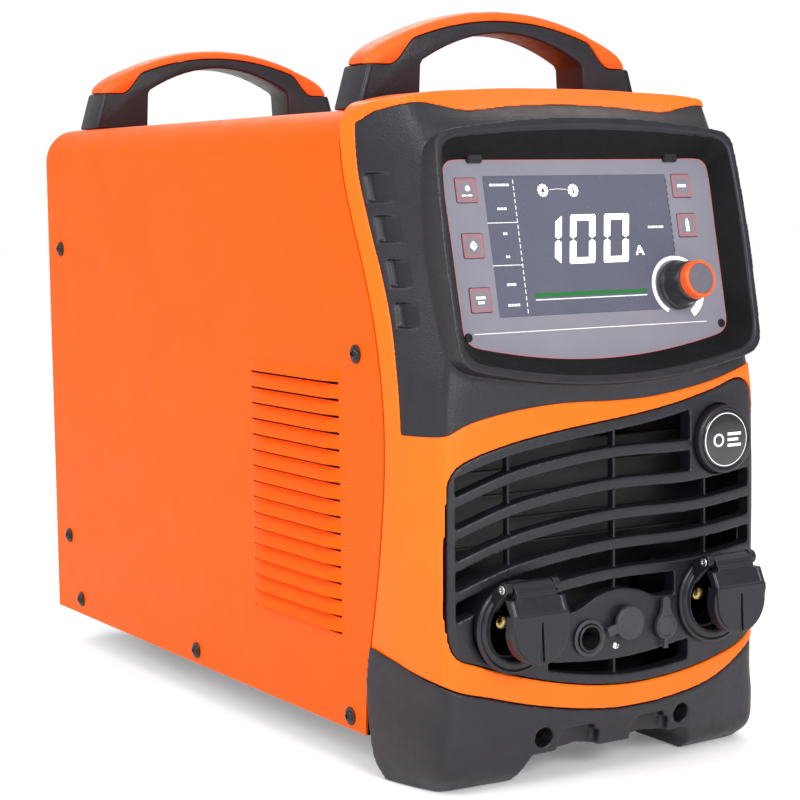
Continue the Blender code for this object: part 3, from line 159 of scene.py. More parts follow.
def mirrored_outline(half):
    """Close a half outline that runs from x = 0 to x = 0 down the +X side."""
    return half + [(-x, z) for x, z in reversed(half) if abs(x) > 1e-6]


def box_mesh(low, high):
    data = bmesh.new()
    bmesh.ops.create_cube(data, size=1)
    bmesh.ops.scale(data, vec=[b - a for a, b in zip(low, high)], verts=data.verts)
    bmesh.ops.translate(data, vec=[(a + b) / 2 for a, b in zip(low, high)], verts=data.verts)
    return data


def turned_by(degrees, axis):
    return Matrix.Rotation(radians(degrees), 3, axis)


AXIS_TURN = {"x": turned_by(90, "Y"), "y": turned_by(-90, "X"), "z": Matrix.Identity(3)}


def rod_mesh(axis, radius, start, end, centre=(0, 0), sides=48):
    data = bmesh.new()
    bmesh.ops.create_cone(data, cap_ends=True, segments=sides, radius1=radius, radius2=radius, depth=end
        - start)
    bmesh.ops.rotate(data, matrix=AXIS_TURN[axis], verts=data.verts)
    middle = {"x": ((start + end) / 2, *centre), "y": (centre[0], (start + end) / 2, centre[1]),
        "z": (*centre, (start + end) / 2)}[axis]
    bmesh.ops.translate(data, vec=middle, verts=data.verts)
    return data


def prism_mesh(outline, axis, start, end):
    """A flat outline pushed along an axis. The outline holds the other two coordinates."""
    data = bmesh.new()
    spot = {"x": lambda a, b: (start, a, b), "y": lambda a, b: (a, start, b),
        "z": lambda a, b: (a, b, start)}[axis]
    face = data.faces.new([data.verts.new(spot(a, b)) for a, b in outline])
    pushed = bmesh.ops.extrude_face_region(data, geom=[face])["geom"]
    moved = [item for item in pushed if isinstance(item, bmesh.types.BMVert)]
    shift = Vector([(end - start) if letter == axis else 0 for letter in "xyz"])
    bmesh.ops.translate(data, vec=shift, verts=moved)
    bmesh.ops.recalc_face_normals(data, faces=data.faces)
    return data


def turned_mesh(profile, axis="z", sides=64):
    """A turned piece round an axis through the origin, from (radius, length) points."""
    data = bmesh.new()
    closed = profile[0] == profile[-1]
    points = profile[:-1] if closed else profile
    rings = []
    for radius, length in points:
        if radius < 1e-7:
            rings.append([data.verts.new((0, 0, length))])
        else:
            rings.append([data.verts.new((radius * cos(a), radius * sin(a), length))
                for a in (2 * pi * k / sides for k in range(sides))])
    pairs = list(zip(rings, rings[1:])) + ([(rings[-1], rings[0])] if closed else [])
    for low, high in pairs:
        for i in range(sides):
            j = (i + 1) % sides
            corners = [low[i % len(low)], low[j % len(low)], high[j % len(high)], high[i % len(high)]]
            corners = [c for n, c in enumerate(corners) if c not in corners[:n]]
            if len(corners) > 2:
                data.faces.new(corners)
    bmesh.ops.rotate(data, matrix=AXIS_TURN[axis], verts=data.verts)
    bmesh.ops.recalc_face_normals(data, faces=data.faces)
    return data


def merged(*meshes):
    """Several separate closed meshes as one."""
    data = bmesh.new()
    for source in meshes:
        held = bpy.data.meshes.new("held")
        source.to_mesh(held)
        source.free()
        data.from_mesh(held)
        bpy.data.meshes.remove(held)
    return data


def shifted(data, offset, turn=None):
    if turn is not None:
        bmesh.ops.rotate(data, matrix=turn, verts=data.verts)
    bmesh.ops.translate(data, vec=offset, verts=data.verts)
    return data


def loft_mesh(rows, caps="strip"):
    """A closed solid through rings of points. Pointed rings share a point at each end of front and back."""
    data = bmesh.new()
    rings = [[data.verts.new(point) for point in row] for row in rows]
    count = len(rings[0])
    for low, high in zip(rings, rings[1:]):
        for i in range(count):
            j = (i + 1) % count
            data.faces.new((low[i], low[j], high[j], high[i]))
    half = count // 2
    for ring in (rings[0], rings[-1]):
        if caps == "fan":
            data.faces.new(ring)
        elif caps == "pointed":
            data.faces.new((ring[0], ring[1], ring[-1]))
            data.faces.new((ring[half - 1], ring[half], ring[half + 1]))
            for i in range(1, half - 1):
                data.faces.new((ring[i], ring[i + 1], ring[count - i - 1], ring[count - i]))
        else:
            for i in range(half - 1):
                data.faces.new((ring[i], ring[i + 1], ring[count - 2 - i], ring[count - 1 - i]))
    bmesh.ops.recalc_face_normals(data, faces=data.faces)
    return data


def build(name, data, where=DEPTH_FRAME):
    """A new object from mesh data that is given in one of the two frames."""
    mesh = bpy.data.meshes.new(name)
    data.normal_update()
    data.to_mesh(mesh)
    data.free()
    made = bpy.data.objects.new(name, mesh)
    made.matrix_world = where
    bpy.context.scene.collection.objects.link(made)
    return made


def settle(target, *tools):
    """Apply all modifiers and remove the tools."""
    bpy.context.view_layer.update()
    held = target.evaluated_get(bpy.context.evaluated_depsgraph_get())
    mesh = bpy.data.meshes.new_from_object(held)
    target.modifiers.clear()
    old = target.data
    target.data = mesh
    bpy.data.meshes.remove(old)
    for tool in tools:
        bpy.data.objects.remove(tool, do_unlink=True)
    return target


def carve(target, operation, *meshes, where=DEPTH_FRAME):
    """Boolean steps with each mesh in turn, applied at once."""
    tools = [build("tool", mesh, where) for mesh in meshes]
    for tool in tools:
        step = target.modifiers.new("carve", "BOOLEAN")
        step.operation = operation
        step.solver = "EXACT"
        step.object = tool
    return settle(target, *tools)


def melt(target, voxel, passes, keep=0.5):
    """Round every edge a little, as in a moulding: fine cells, smoothed, then thinned where flat."""
    cells = target.modifiers.new("cells", "REMESH")
    cells.mode = "VOXEL"
    cells.voxel_size = voxel
    relax = target.modifiers.new("relax", "SMOOTH")
    relax.factor = 0.5
    relax.iterations = passes
    thin = target.modifiers.new("thin", "DECIMATE")
    thin.ratio = keep
    settle(target)
    target.data.shade_smooth()
    return target


def edge_round(target, width, segments=3, angle=35):
    step = target.modifiers.new("edges", "BEVEL")
    step.width = width
    step.segments = segments
    step.limit_method = "ANGLE"
    step.angle_limit = radians(angle)
    settle(target)
    target.data.shade_smooth()
    target.data.set_sharp_from_angle(angle=radians(40))
    return target


def crisp(target, angle=35):
    target.data.shade_smooth()
    target.data.set_sharp_from_angle(angle=radians(angle))
    return target


def finish_piece(piece, look, *nodes, body="unit", slot=None):
    """Material, body and the CAD nodes that the piece stands for; the slot is looked up but not recorded."""
    piece.data.materials.clear()
    piece.data.materials.append(LOOKS[look])
    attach(piece, body)
    slot = slot or SLOTS.get(look)
    if nodes:
        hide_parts(*nodes)




# ---- materials ----
def add_node(tree, kind, source=None, **values):
    """A node with its inputs set and its first input linked. Input names use _ for a space."""
    node = tree.nodes.new("ShaderNode" + kind)
    for name, value in values.items():
        node.inputs[name.replace("_", " ")].default_value = value
    if source:
        tree.links.new(source, node.inputs[0])
    return node


def surface(name, light, dark, rough, grain=None, mottle=0.02, metal=0, streak=None, coat=0, specular=0.5,
        speck=None):
    """A procedural finish: two tones mixed by noise, uneven gloss, and grain of a given size and depth."""
    made = bpy.data.materials.new(name)
    made.use_nodes = True
    tree, link = made.node_tree, made.node_tree.links.new
    shader = tree.nodes["Principled BSDF"].inputs
    shader["Metallic"].default_value = metal
    shader["Coat Weight"].default_value = coat
    shader["Coat Roughness"].default_value = 0.12
    shader["Specular IOR Level"].default_value = specular
    spot = add_node(tree, "TexCoord").outputs["Object"]
    if streak:
        spot = add_node(tree, "Mapping", spot, Scale=streak).outputs["Vector"]

    def cloud(size, detail=3):
        return add_node(tree, "TexNoise", spot, Scale=1 / size, Detail=detail).outputs["Fac"]

    tone = add_node(tree, "ValToRGB")
    for element, position, tint in zip(tone.color_ramp.elements, (0.3, 0.7), (dark, light)):
        element.position, element.color = position, (*tint, 1)
    link(cloud(mottle), tone.inputs["Fac"])
    colour = tone.outputs["Color"]
    if speck:
        size, share, tint = speck
        dots = add_node(tree, "ValToRGB")
        dots.color_ramp.elements[0].position = 1 - share
        dots.color_ramp.elements[1].position = min(1 - share + 0.06, 1)
        link(cloud(size, 1), dots.inputs["Fac"])
        blend = add_node(tree, "Mix")
        blend.data_type = "RGBA"
        blend.inputs["B"].default_value = (*tint, 1)
        link(dots.outputs["Color"], blend.inputs["Factor"])
        link(colour, blend.inputs["A"])
        colour = blend.outputs["Result"]
    link(colour, shader["Base Color"])
    gloss = add_node(tree, "MapRange", From_Min=0.3, From_Max=0.7, To_Min=rough[0], To_Max=rough[1])
    link(cloud(mottle * 0.4, 4), gloss.inputs["Value"])
    link(gloss.outputs["Result"], shader["Roughness"])
    if grain:
        size, depth, strength = grain
        bump = add_node(tree, "Bump", Distance=depth, Strength=strength)
        link(cloud(size, 2), bump.inputs["Height"])
        link(bump.outputs["Normal"], shader["Normal"])
    return made


def lit(made, colour, strength):
    """The material, with some light of its own."""
    shader = made.node_tree.nodes["Principled BSDF"].inputs
    shader["Emission Color"].default_value = (*colour, 1)
    shader["Emission Strength"].default_value = strength
    return made


def glowing(name, colour, strength):
    """Bright marks with emission: the readout's own light, and a painted glow on printed marks. A slightly
    uneven bright colour.
    """
    return lit(surface(name, colour, [c * 0.9 for c in colour], (0.35, 0.5), mottle=0.004), colour,
        strength)


# Slot name of each look; printed and lit marks have none.
SLOTS = {"case": "orange_case", "moulding": "orange_moulding", "grip": "orange_grip",
    "black": "black_moulding", "smooth_black": "socket_black", "recess": "black_moulding",
    "bore_and_shade_black": "black_moulding", "black_sheet": "black_sheet", "rubber": "rubber", "soft": "soft_black",
    "gloss": "gloss_black", "film": "panel_film", "window": "display_window", "key": "key",
    "knob": "knob_black", "knob_face": "knob_black", "knob_orange": "knob_orange", "steel": "steel",
    "brass": "brass", "screw": "screw_black"}
LOOKS = {"case": surface("orange_powder_coat", (0.93, 0.104, 0), (0.91, 0.098, 0), (0.44, 0.52),
    (0.0009, 0.00006, 0.35), 0.05, specular=0.1), "moulding": surface("orange_moulding",
    (0.93, 0.148, 0.004), (0.91, 0.14, 0.003), (0.38, 0.48), (0.0006, 0.00005, 0.4), 0.04, specular=0.25),
    "grip": surface("orange_grip", (0.93, 0.11, 0.004), (0.88, 0.098, 0.003), (0.42, 0.52),
    (0.0005, 0.00005, 0.5), 0.02, specular=0.3), "black": surface("black_moulding",
    (0.0105, 0.0096, 0.0155), (0.007, 0.0064, 0.0105), (0.38, 0.5), (0.0011, 0.00028, 0.8), 0.02,
    specular=0.45), "smooth_black": surface("smooth_black", (0.01, 0.0094, 0.0148),
    (0.0072, 0.0068, 0.0108), (0.3, 0.4), (0.0006, 0.00006, 0.4), 0.012, specular=0.42),
    # The recess look is a near-black painted shade for the display recess and the seam's gap. The next look
    # is the torch bore's own black, and it is also painted shade on the dark sheets behind the grille.
    "recess": surface("painted_shade_black", (0.004, 0.0036, 0.0045), (0.0028, 0.0026, 0.0032), (0.5, 0.62),
    (0.001, 0.00018, 0.6), 0.01, specular=0.15), "bore_and_shade_black": surface("bore_and_shade_black", (0.01, 0.01, 0.012),
    (0.007, 0.007, 0.009), (0.3, 0.42), (0.001, 0.00005, 0.4), 0.01),
    "zinc": surface("zinc_sheet", (0.56, 0.57, 0.59), (0.4, 0.41, 0.43), (0.28, 0.42), (0.003, 0.0001, 0.3),
    0.012, metal=1), "black_sheet": surface("black_sheet", (0.03, 0.03, 0.034), (0.02, 0.02, 0.024),
    (0.4, 0.52), (0.0008, 0.00008, 0.5), 0.03), "rubber": surface("rubber", (0.028, 0.028, 0.029),
    (0.018, 0.018, 0.019), (0.66, 0.8), (0.0006, 0.0001, 0.6), 0.01),
    "soft": surface("soft_black", (0.034, 0.033, 0.042), (0.026, 0.025, 0.033), (0.5, 0.62),
    (0.0006, 0.00008, 0.5), 0.01), "gloss": surface("gloss_black", (0.016, 0.016, 0.02),
    (0.011, 0.011, 0.014), (0.08, 0.16), None, 0.01, coat=0.6),
    "film": surface("panel_film", (0.205, 0.196, 0.24), (0.19, 0.182, 0.224), (0.36, 0.44),
    (0.0005, 0.00003, 0.3), 0.03), "window": surface("display_window", (0.098, 0.102, 0.14),
    (0.09, 0.094, 0.13), (0.22, 0.3), None, 0.05, specular=0.35),
    "key": surface("key_film", (0.19, 0.176, 0.215), (0.174, 0.162, 0.198), (0.34, 0.42),
    (0.0005, 0.00003, 0.3), 0.01), "knob": surface("knob_black", (0.018, 0.018, 0.022),
    (0.012, 0.012, 0.015), (0.28, 0.38), (0.0004, 0.00004, 0.4), 0.006),
    "knob_face": surface("knob_face", (0.115, 0.108, 0.135), (0.095, 0.09, 0.112), (0.45, 0.55),
    (0.0006, 0.00008, 0.5), 0.006), "knob_orange": surface("knob_orange", (0.95, 0.1, 0.006),
    (0.9, 0.085, 0.004), (0.32, 0.42), (0.0005, 0.00004, 0.4), 0.006),
    "steel": surface("steel", (0.7, 0.7, 0.72), (0.55, 0.55, 0.57), (0.2, 0.34), (0.0006, 0.00003, 0.4),
    0.004, metal=1), "brass": surface("brass", (0.76, 0.56, 0.24), (0.62, 0.43, 0.16), (0.22, 0.36),
    (0.0006, 0.00004, 0.4), 0.004, metal=1), "board": surface("circuit_board", (0.02, 0.16, 0.05),
    (0.012, 0.11, 0.035), (0.3, 0.42), (0.001, 0.00004, 0.4), 0.004,
    speck=(0.0016, 0.36, (0.55, 0.42, 0.18))), "aluminium": surface("bare_aluminium", (0.66, 0.66, 0.68),
    (0.52, 0.52, 0.55), (0.28, 0.42), (0.0015, 0.00005, 0.4), 0.01, metal=1, streak=(1, 0.1, 1)),
    "ferrite": surface("ferrite", (0.06, 0.06, 0.064), (0.035, 0.035, 0.038), (0.45, 0.62),
    (0.0012, 0.0001, 0.5), 0.006), "lever": surface("lever_grey", (0.11, 0.11, 0.118),
    (0.085, 0.085, 0.092), (0.38, 0.48), (0.0006, 0.00006, 0.4), 0.006),
    "screw": surface("screw_black", (0.03, 0.026, 0.026), (0.016, 0.014, 0.015), (0.26, 0.4),
    # The print white and the outline red glow with painted light; the digit white is the readout's own light,
    # and a painted glow where printed marks use it.
    (0.0006, 0.00005, 0.4), 0.002, metal=0.5), "white": glowing("print_white_painted_glow", (0.86, 0.86, 0.84), 0.25),
    "digit": glowing("readout_and_painted_glow_white", (1, 0.99, 0.94), 0.75), "green": glowing("bar_green",
    (0.006, 0.13, 0.024), 0.1), "red": glowing("outline_red_painted_glow", (0.52, 0.115, 0.095), 0.08),
    "dark_print": surface("print_dark", (0.02, 0.02, 0.03), (0.015, 0.015, 0.022), (0.4, 0.5), None,
    0.004),}


# ---- sheet-metal case ----
LOUVRES, LOUVRE_DEPTHS, LOUVRE_HEIGHTS = 16, (0.1075, 0.2285), (0.0877, 0.2467)
LOUVRE_OUT, LOUVRE_TALL, LOUVRE_END = 0.0044, 0.0084, 0.015


def case_profile(inset):
    """Inverted U of the case, left foot to right foot, in short steps."""
    side, top, radius = HALF_WIDTH - inset, CASE_TOP - inset, CORNER_R - inset
    left = [(-side, z) for z in spread(CASE_BOTTOM, top - radius, 48)]
    bend = arc(-side + radius, top - radius, radius, 180, 90, 16)[1:]
    half = left + bend
    flat = [(x, top) for x in spread(-side + radius, side - radius, 9)[1:-1]]
    return half + flat + [(-x, z) for x, z in reversed(half)]


def louvre_mesh(side, low):
    """One pressed louvre: flush at its top, standing out at its lower lip, rounded at both ends."""
    start, end = LOUVRE_DEPTHS
    rows = []
    for t in spread(0, 1, 41):
        depth = start + (end - start) * (0.5 - 0.5 * cos(pi * t))
        near = min(depth - start, end - depth, LOUVRE_END) / LOUVRE_END
        swell = LOUVRE_OUT * (0.55 * sqrt(max(1 - (1 - near)**2, 0)) + 0.45 * near)
        heights = spread(low, low + LOUVRE_TALL, 9)
        outer = [(side * (HALF_WIDTH - 0.00015 + swell * (1 - s)**0.85), depth, z)
            for s, z in zip(spread(0, 1, 9), heights)]
        inner = [(side * (HALF_WIDTH - 0.001), depth, z) for z in reversed(heights)]
        rows.append(outer + inner)
    return loft_mesh(rows)


def case_cover():
    profile = case_profile(0)
    data = bmesh.new()
    columns = [0, 0.02, 0.98, 1]
    grid = []
    for x, z in profile:
        near = seam_depth(z) + SEAM
        grid.append([data.verts.new((x, near + (CASE_REAR - near) * t, z)) for t in columns])
    for a, b in zip(grid, grid[1:]):
        for i in range(len(columns) - 1):
            data.faces.new((a[i], a[i + 1], b[i + 1], b[i]))
    bmesh.ops.recalc_face_normals(data, faces=data.faces)
    cover = build("case_cover", data)
    shell = cover.modifiers.new("sheet", "SOLIDIFY")
    shell.thickness = SHEET
    shell.offset = -1 if cover.data.polygons[0].normal.x < 0 else 1
    settle(cover)
    lows = [z - 0.0012 for z in spread(*LOUVRE_HEIGHTS, LOUVRES)]
    slots, hoods = [], []
    for side in (-1, 1):
        ends = sorted((side * (HALF_WIDTH - 0.004), side * (HALF_WIDTH + 0.004)))
        for low in lows:
            slots.append(box_mesh((ends[0], LOUVRE_DEPTHS[0] + 0.002, low - 0.002),
                (ends[1], LOUVRE_DEPTHS[1] - 0.002, low + 0.0001)))
            hoods.append(louvre_mesh(side, low))
    carve(cover, "UNION", merged(*hoods))
    carve(cover, "DIFFERENCE", merged(*slots))
    crisp(cover, 32)
    for face in cover.data.polygons:
        if abs(face.normal.x) > 0.9999:
            face.use_smooth = False
    finish_piece(cover, "case", "outer_cover")


SCREW_PLACES = ((0.5526, 0.3201), (0.0871, 0.2643), (0.5515, 0.0873), (0.5304, 0.0378), (0.3201, 0.0352),
    (0.1001, 0.0341))


def turned_piece(name, look, profile, at, *nodes, axis="y", sides=96, angle=35, where=DEPTH_FRAME, **how):
    """A finished turned piece."""
    piece = crisp(build(name, shifted(turned_mesh(profile, axis, sides), at), where), angle)
    finish_piece(piece, look, *nodes, **how)


def cross_mesh(axis, reach, half, deep):
    """Cutter for a cross recess, centred on the origin."""
    quarter = [(half, half), (half, reach), (-half, reach)]
    outline = []
    for _ in range(4):
        outline += quarter
        quarter = [(-z, x) for x, z in quarter]
    return prism_mesh(outline, axis, -deep, deep)


def washer_screw_mesh(side):
    """Washer-head screw with a domed head, pointing out along X."""
    head = turned_mesh(mm((0, 3), (1.6, 2.95), (3, 2.6), (3.9, 1.8), (4.1, 1.1), (5.6, 1), (5.9, 0.7),
        (5.9, 0.1), (2.4, 0.1), (2.4, -7), (0, -7)), "x", 40)
    if side < 0:
        bmesh.ops.rotate(head, matrix=Matrix.Rotation(pi, 3, "Z"), verts=head.verts)
    return head


def case_screws():
    for side, word in SIDES:
        for number, (depth, height) in enumerate(SCREW_PLACES, 1):
            at = (side * (HALF_WIDTH + GAP), depth, height)
            screw = build(f"washer_screw_{word}_{number}", shifted(washer_screw_mesh(side), at))
            turn = turned_by(17 * number + 5 * side, "X")
            tip = (at[0] + side * 0.0029, depth, height)
            carve(screw, "DIFFERENCE", shifted(cross_mesh("x", 0.0023, 0.0005, 0.0015), tip, turn))
            crisp(screw)
            finish_piece(screw, "screw", f"case_screw_{word}_{number}")


# ---- moulded front ----
def finer(values, parts=4):
    out = []
    for a, b in zip(values, values[1:]):
        out += [a + (b - a) * i / parts for i in range(parts)]
    return out + [values[-1]]


FRONT_ROWS = (0.041, 0.07, 0.115, 0.155, 0.195, 0.225, 0.255, 0.285, 0.315, 0.345, 0.375, 0.392, 0.404,
    0.414, 0.421, CROWN_MAX)
SIDE_STEPS = spread(1, 0, 15)
FRONT_STEPS = [0.965, 0.925, 0.88] + spread(0.825, 0, 14)


def wing_swell(t):
    """Share of the way out from the corner to the side wall, t of the way back to the seam."""
    return sin(t * pi / 2) * 0.45 + t * 0.55


def wrapped_ring(corner, side_x, middle_y, side_y, height):
    """Ring round a section: its front wraps both corners, and its back is straight across."""
    corner_x, corner_y = corner

    def side_point(sign, t):
        x = sign * (corner_x + (side_x - corner_x) * wing_swell(t))
        return (x, corner_y + (side_y(height(x)) - corner_y) * t)

    def front_point(sign, t):
        return (sign * corner_x * t, middle_y + (corner_y - middle_y) * t**2)

    plan = [side_point(-1, t) for t in SIDE_STEPS] + [front_point(-1, t) for t in FRONT_STEPS]
    plan += [front_point(1, t) for t in reversed(FRONT_STEPS[:-1])]
    plan += [side_point(1, t) for t in reversed(SIDE_STEPS)]
    for _ in range(3):
        plan = ([plan[0]] + [tuple((a[k] + 2 * b[k] + c[k]) / 4 for k in (0, 1))
            for a, b, c in zip(plan, plan[1:], plan[2:])] + [plan[-1]])
    front = [(x, y, height(x)) for x, y in plan]
    return front + [(x, side_y(z), z) for x, y, z in reversed(front[1:-1])]


def front_mass(rows_at, low, high, inset=0, back=0):
    """The moulded front between two boundary curves, with rows at the given heights."""
    rows = []
    for nominal in rows_at:
        def height(x, nominal=nominal):
            if nominal > CROWN_FROM:
                share = (nominal - CROWN_FROM) / (rows_at[-1] - CROWN_FROM)
                return CROWN_FROM + share * (high(x) - CROWN_FROM)
            if nominal < SKIRT_TO:
                share = (SKIRT_TO - nominal) / (SKIRT_TO - rows_at[0])
                return SKIRT_TO - share * (SKIRT_TO - low(x))
            return nominal
        corner = (corner_half(nominal) - inset, corner_depth(nominal) + inset)
        rows.append(wrapped_ring(corner, HALF_WIDTH - inset, middle_depth(nominal) + inset,
            lambda z: seam_depth(z) + back, height))
    return loft_mesh(rows, "pointed")


def hood_region(grow, back_shift):
    """Space in front of the orange strip, between the hood's lower and upper edges."""
    xs = spread(-0.14, 0.14, 61)
    rows = []
    for t in spread(0, 1, 31):
        heights = [(x, hood_bottom(x) - grow + t * (hood_top(x) - hood_bottom(x) + 2 * grow)) for x in xs]
        rows.append([(x, HOOD_FRONT, z) for x, z in heights] + [(x, seam_depth(z) - STRIP_WIDTH
            + back_shift, z) for x, z in reversed(heights)])
    return loft_mesh(rows)


def rounded_line(points, parts=5):
    """A smooth closed line through points."""
    out, count = [], len(points)
    for i in range(count):
        p0, p1, p2, p3 = (Vector(points[(i + k) % count]) for k in (-1, 0, 1, 2))
        d0, d1, d2 = ((b - a).length**0.5 or 1e-6 for a, b in ((p0, p1), (p1, p2), (p2, p3)))
        m1 = (p1 - p0) / d0 - (p2 - p0) / (d0 + d1) + (p2 - p1) / d1
        m2 = (p2 - p1) / d1 - (p3 - p1) / (d1 + d2) + (p3 - p2) / d2
        m1, m2 = m1 * d1, m2 * d1
        for k in range(parts):
            t = k / parts
            out.append(tuple((2 * t**3 - 3 * t**2 + 1) * p1 + (t**3 - 2 * t**2 + t) * m1
                + (3 * t**2 - 2 * t**3) * p2 + (t**3 - t**2) * m2))
    return out


def grille_outline(offset):
    left, right = -GRILLE_HALF - offset, GRILLE_HALF + offset
    upper = [(x, grille_top(x) + offset) for x in spread(right - 0.012, left + 0.016, 9)]
    lower = [(x, grille_bottom(x) - offset) for x in spread(left + 0.018, right - 0.01, 9)]
    high_z, low_z = grille_top(left + 0.016), grille_bottom(left + 0.018)
    top_left = [(left + 0.0055, high_z - 0.0055 + offset), (left + 0.0011, high_z - 0.0115),
        (left, high_z - 0.0175)]
    low_left = [(left, low_z + 0.016), (left + 0.005, low_z + 0.005)]
    low_right = [(right, grille_bottom(right - 0.01) + 0.01)]
    top_right = [(right, grille_top(right - 0.012) - 0.01)]
    return rounded_line(upper + top_left + low_left + lower + low_right + top_right)


def crown_underside(x):
    """Top of the space inside the front; the crown is solid above the hood."""
    return min(crown_height(x) - WALL, hood_top(x) - 0.001)


def front_bezel():
    bezel = build("front_frame", front_mass(finer(FRONT_ROWS), lambda x: bumper_top(x) + GAP, crown_height))
    hollow_rows = finer((0, *FRONT_ROWS[1:-3], crown_height(0) - WALL), 3)
    hollow = front_mass(hollow_rows, lambda x: 0, crown_underside, inset=WALL, back=0.02)
    carve(bezel, "DIFFERENCE", hood_region(0, 0), hollow, prism_mesh(grille_outline(0.0005), "y", -0.05,
        0.06))
    melt(bezel, CELL, 4)
    finish_piece(bezel, "moulding", "front_bezel")


def panel_outline(inset=0):
    """Outline of the display rim in its own plane, arched top and bottom."""
    top_x, low_x = 0.115 - inset, 0.1165 - inset
    arch = [(x, 0.0314 - inset - 0.72 * x * x) for x in spread(0, top_x - 0.012, 5)]
    top_z = arch[-1][1]
    corner = [(top_x - 0.006, top_z - 0.002), (top_x - 0.0015, top_z - 0.0065), (top_x, top_z - 0.013)]
    side = [(0.1178 - inset, -0.045), (low_x + 0.0006, -0.085), (low_x, -0.104)]
    sag = [(x, -0.135 + inset + 1.15 * x * x) for x in spread(low_x - 0.012, 0, 6)]
    low_z = sag[0][1]
    lower = [(low_x - 0.0015, low_z + 0.0085), (low_x - 0.006, low_z + 0.003)]
    return rounded_line(mirrored_outline(arch + corner + side + lower + sag))


def fascia_outline(grow=0):
    """Outline of the flat display panel, with as many points as panel_outline."""
    top, side = FASCIA_TOP + grow, 0.1027 + grow
    arch = [(x, top) for x in spread(0, side - 0.008, 5)]
    corner = [(side - 0.004, top - 0.0011), (side - 0.0011, top - 0.004), (side, top - 0.008)]
    walls = [(side, -0.045), (side - 0.0004, -0.085), (side - 0.0008, -0.098 - grow)]
    sag = [(x, -0.1177 - grow + 1.25 * x * x) for x in spread(side - 0.009, 0, 6)]
    low_z = sag[0][1]
    lower = [(side - 0.002, low_z + 0.005), (side - 0.005, low_z + 0.0018)]
    return rounded_line(mirrored_outline(arch + corner + walls + lower + sag))


def between_outlines(*levels):
    """A solid through closed outlines of the same length at several levels of the display's normal."""
    return loft_mesh([[(x, y, n) for x, y in outline] for outline, n in levels], "fan")


def wing_point(side, t, z):
    """Point of the hood's wing at one height: t runs from 0 at the corner to 1 at the seam."""
    corner_x, corner_y = corner_half(z), corner_depth(z)
    x = side * (corner_x + (HALF_WIDTH - corner_x) * wing_swell(t))
    return Vector((x, corner_y + (seam_depth(z) - corner_y) * t, z))


def grip_notches():
    """Four finger scoops in each wing of the hood, deepest at the back and running out in front."""
    scoops = []
    for side in (-1, 1):
        for middle, height, low, high in NOTCHES:
            rows = []
            for z in spread(middle - height / 2, middle + height / 2, 9):
                fore, rear = wing_point(side, low, z), wing_point(side, high, z)
                along = (fore - rear).normalized()
                inward = Vector((side * along.y, -side * along.x, 0))
                rows.append([fore - inward * 0.0005, rear + inward * NOTCH_DEPTH + along * NOTCH_DEPTH
                    * 0.7, rear, rear - inward * 0.012, fore - inward * 0.012, fore - inward * 0.006])
            scoops.append(loft_mesh(rows))
    return merged(*scoops)


def display_hood():
    hood = build("hood_moulding", front_mass(finer(FRONT_ROWS), bumper_top, crown_height, inset=0.0009))
    carve(hood, "INTERSECT", hood_region(0.0007, 0.0007))
    rim = between_outlines((panel_outline(), 0), (panel_outline(0.002), -0.026))
    recess = between_outlines((panel_outline(0.004), 0.001), (panel_outline(0.0043), 0),
        (fascia_outline(0.0004), -SET_BACK - 0.0034))
    pocket = box_mesh(*mm((-96.8, -97, -120), (96.8, 3, -10)))
    carve(hood, "UNION", rim, where=PANEL_FRAME)
    carve(hood, "DIFFERENCE", recess, pocket, where=PANEL_FRAME)
    carve(hood, "DIFFERENCE", grip_notches())
    melt(hood, CELL, 3)
    finish_piece(hood, "black", "display_hood")


def grille_front(x):
    return 0.01 * (x / 0.118)**2


def long_slot(low, high, left, right):
    """Cutter for one curved grille slot between two curves."""
    xs = spread(left, right, 31)
    return prism_mesh([(x, low(x)) for x in xs] + [(x, high(x)) for x in reversed(xs)], "y", -0.03, 0.05)


def bar_edge(top, thickness=0):
    return lambda x: top + bar_shape(x) - thickness


def front_grille():
    xs = spread(-GRILLE_HALF - 0.0004, GRILLE_HALF + 0.0004, 45)
    rows = [[(x, grille_front(x), z) for x in xs] + [(x, grille_front(x) + GRILLE_DEEP, z)
        for x in reversed(xs)] for z in spread(0.04, 0.26, 5)]
    grille = build("inlet_grille", loft_mesh(rows))
    outer = front_mass(finer(FRONT_ROWS[:8]), lambda x: 0, lambda x: 0.26, inset=0.0004)
    carve(grille, "INTERSECT", prism_mesh(grille_outline(-0.0001), "y", -0.05, 0.06), outer)
    full = GRILLE_HALF - GRILLE_EDGE
    slots = [long_slot(bar_edge(BAR_TOPS[0]), lambda x: grille_top(x) - 0.007, -full, 0.06),
        long_slot(bar_edge(BAR_TOPS[1]), bar_edge(BAR_TOPS[0], BAR_THICK), -full, 0.06)]
    for upper, lower in zip(BAR_TOPS[1:], BAR_TOPS[2:]):
        slots.append(long_slot(bar_edge(lower), bar_edge(upper, BAR_THICK), -full, full))
    slots.append(long_slot(plate_top, bar_edge(BAR_TOPS[-1], BAR_THICK), -0.046, 0.046))
    slots.append(long_slot(lambda x: grille_bottom(x) + 0.0065, plate_bottom, -0.052, 0.058))
    carve(grille, "DIFFERENCE", merged(*slots))
    ribs = [box_mesh((x - RIB_HALF, grille_front(x) + 0.004, grille_bottom(x) + 0.004),
        (x + RIB_HALF, grille_front(x) + 0.0098, grille_top(x) - 0.004)) for x in RIB_PLACES]
    carve(grille, "UNION", merged(*ribs))
    holes = [rod_mesh("y", radius, -0.03, 0.05, spot) for radius, spot in ((SOCKET_HOLE, (-SOCKET_X,
        SOCKET_Z)), (SOCKET_HOLE, (SOCKET_X, SOCKET_Z)), (0.0088 + GAP, TORCH_AT), (0.0062, CONTROL_AT),
        (0.022 + GAP, BADGE_AT.xz))]
    carve(grille, "DIFFERENCE", merged(*holes))
    melt(grille, CELL, 3)
    finish_piece(grille, "black", "front_grille")


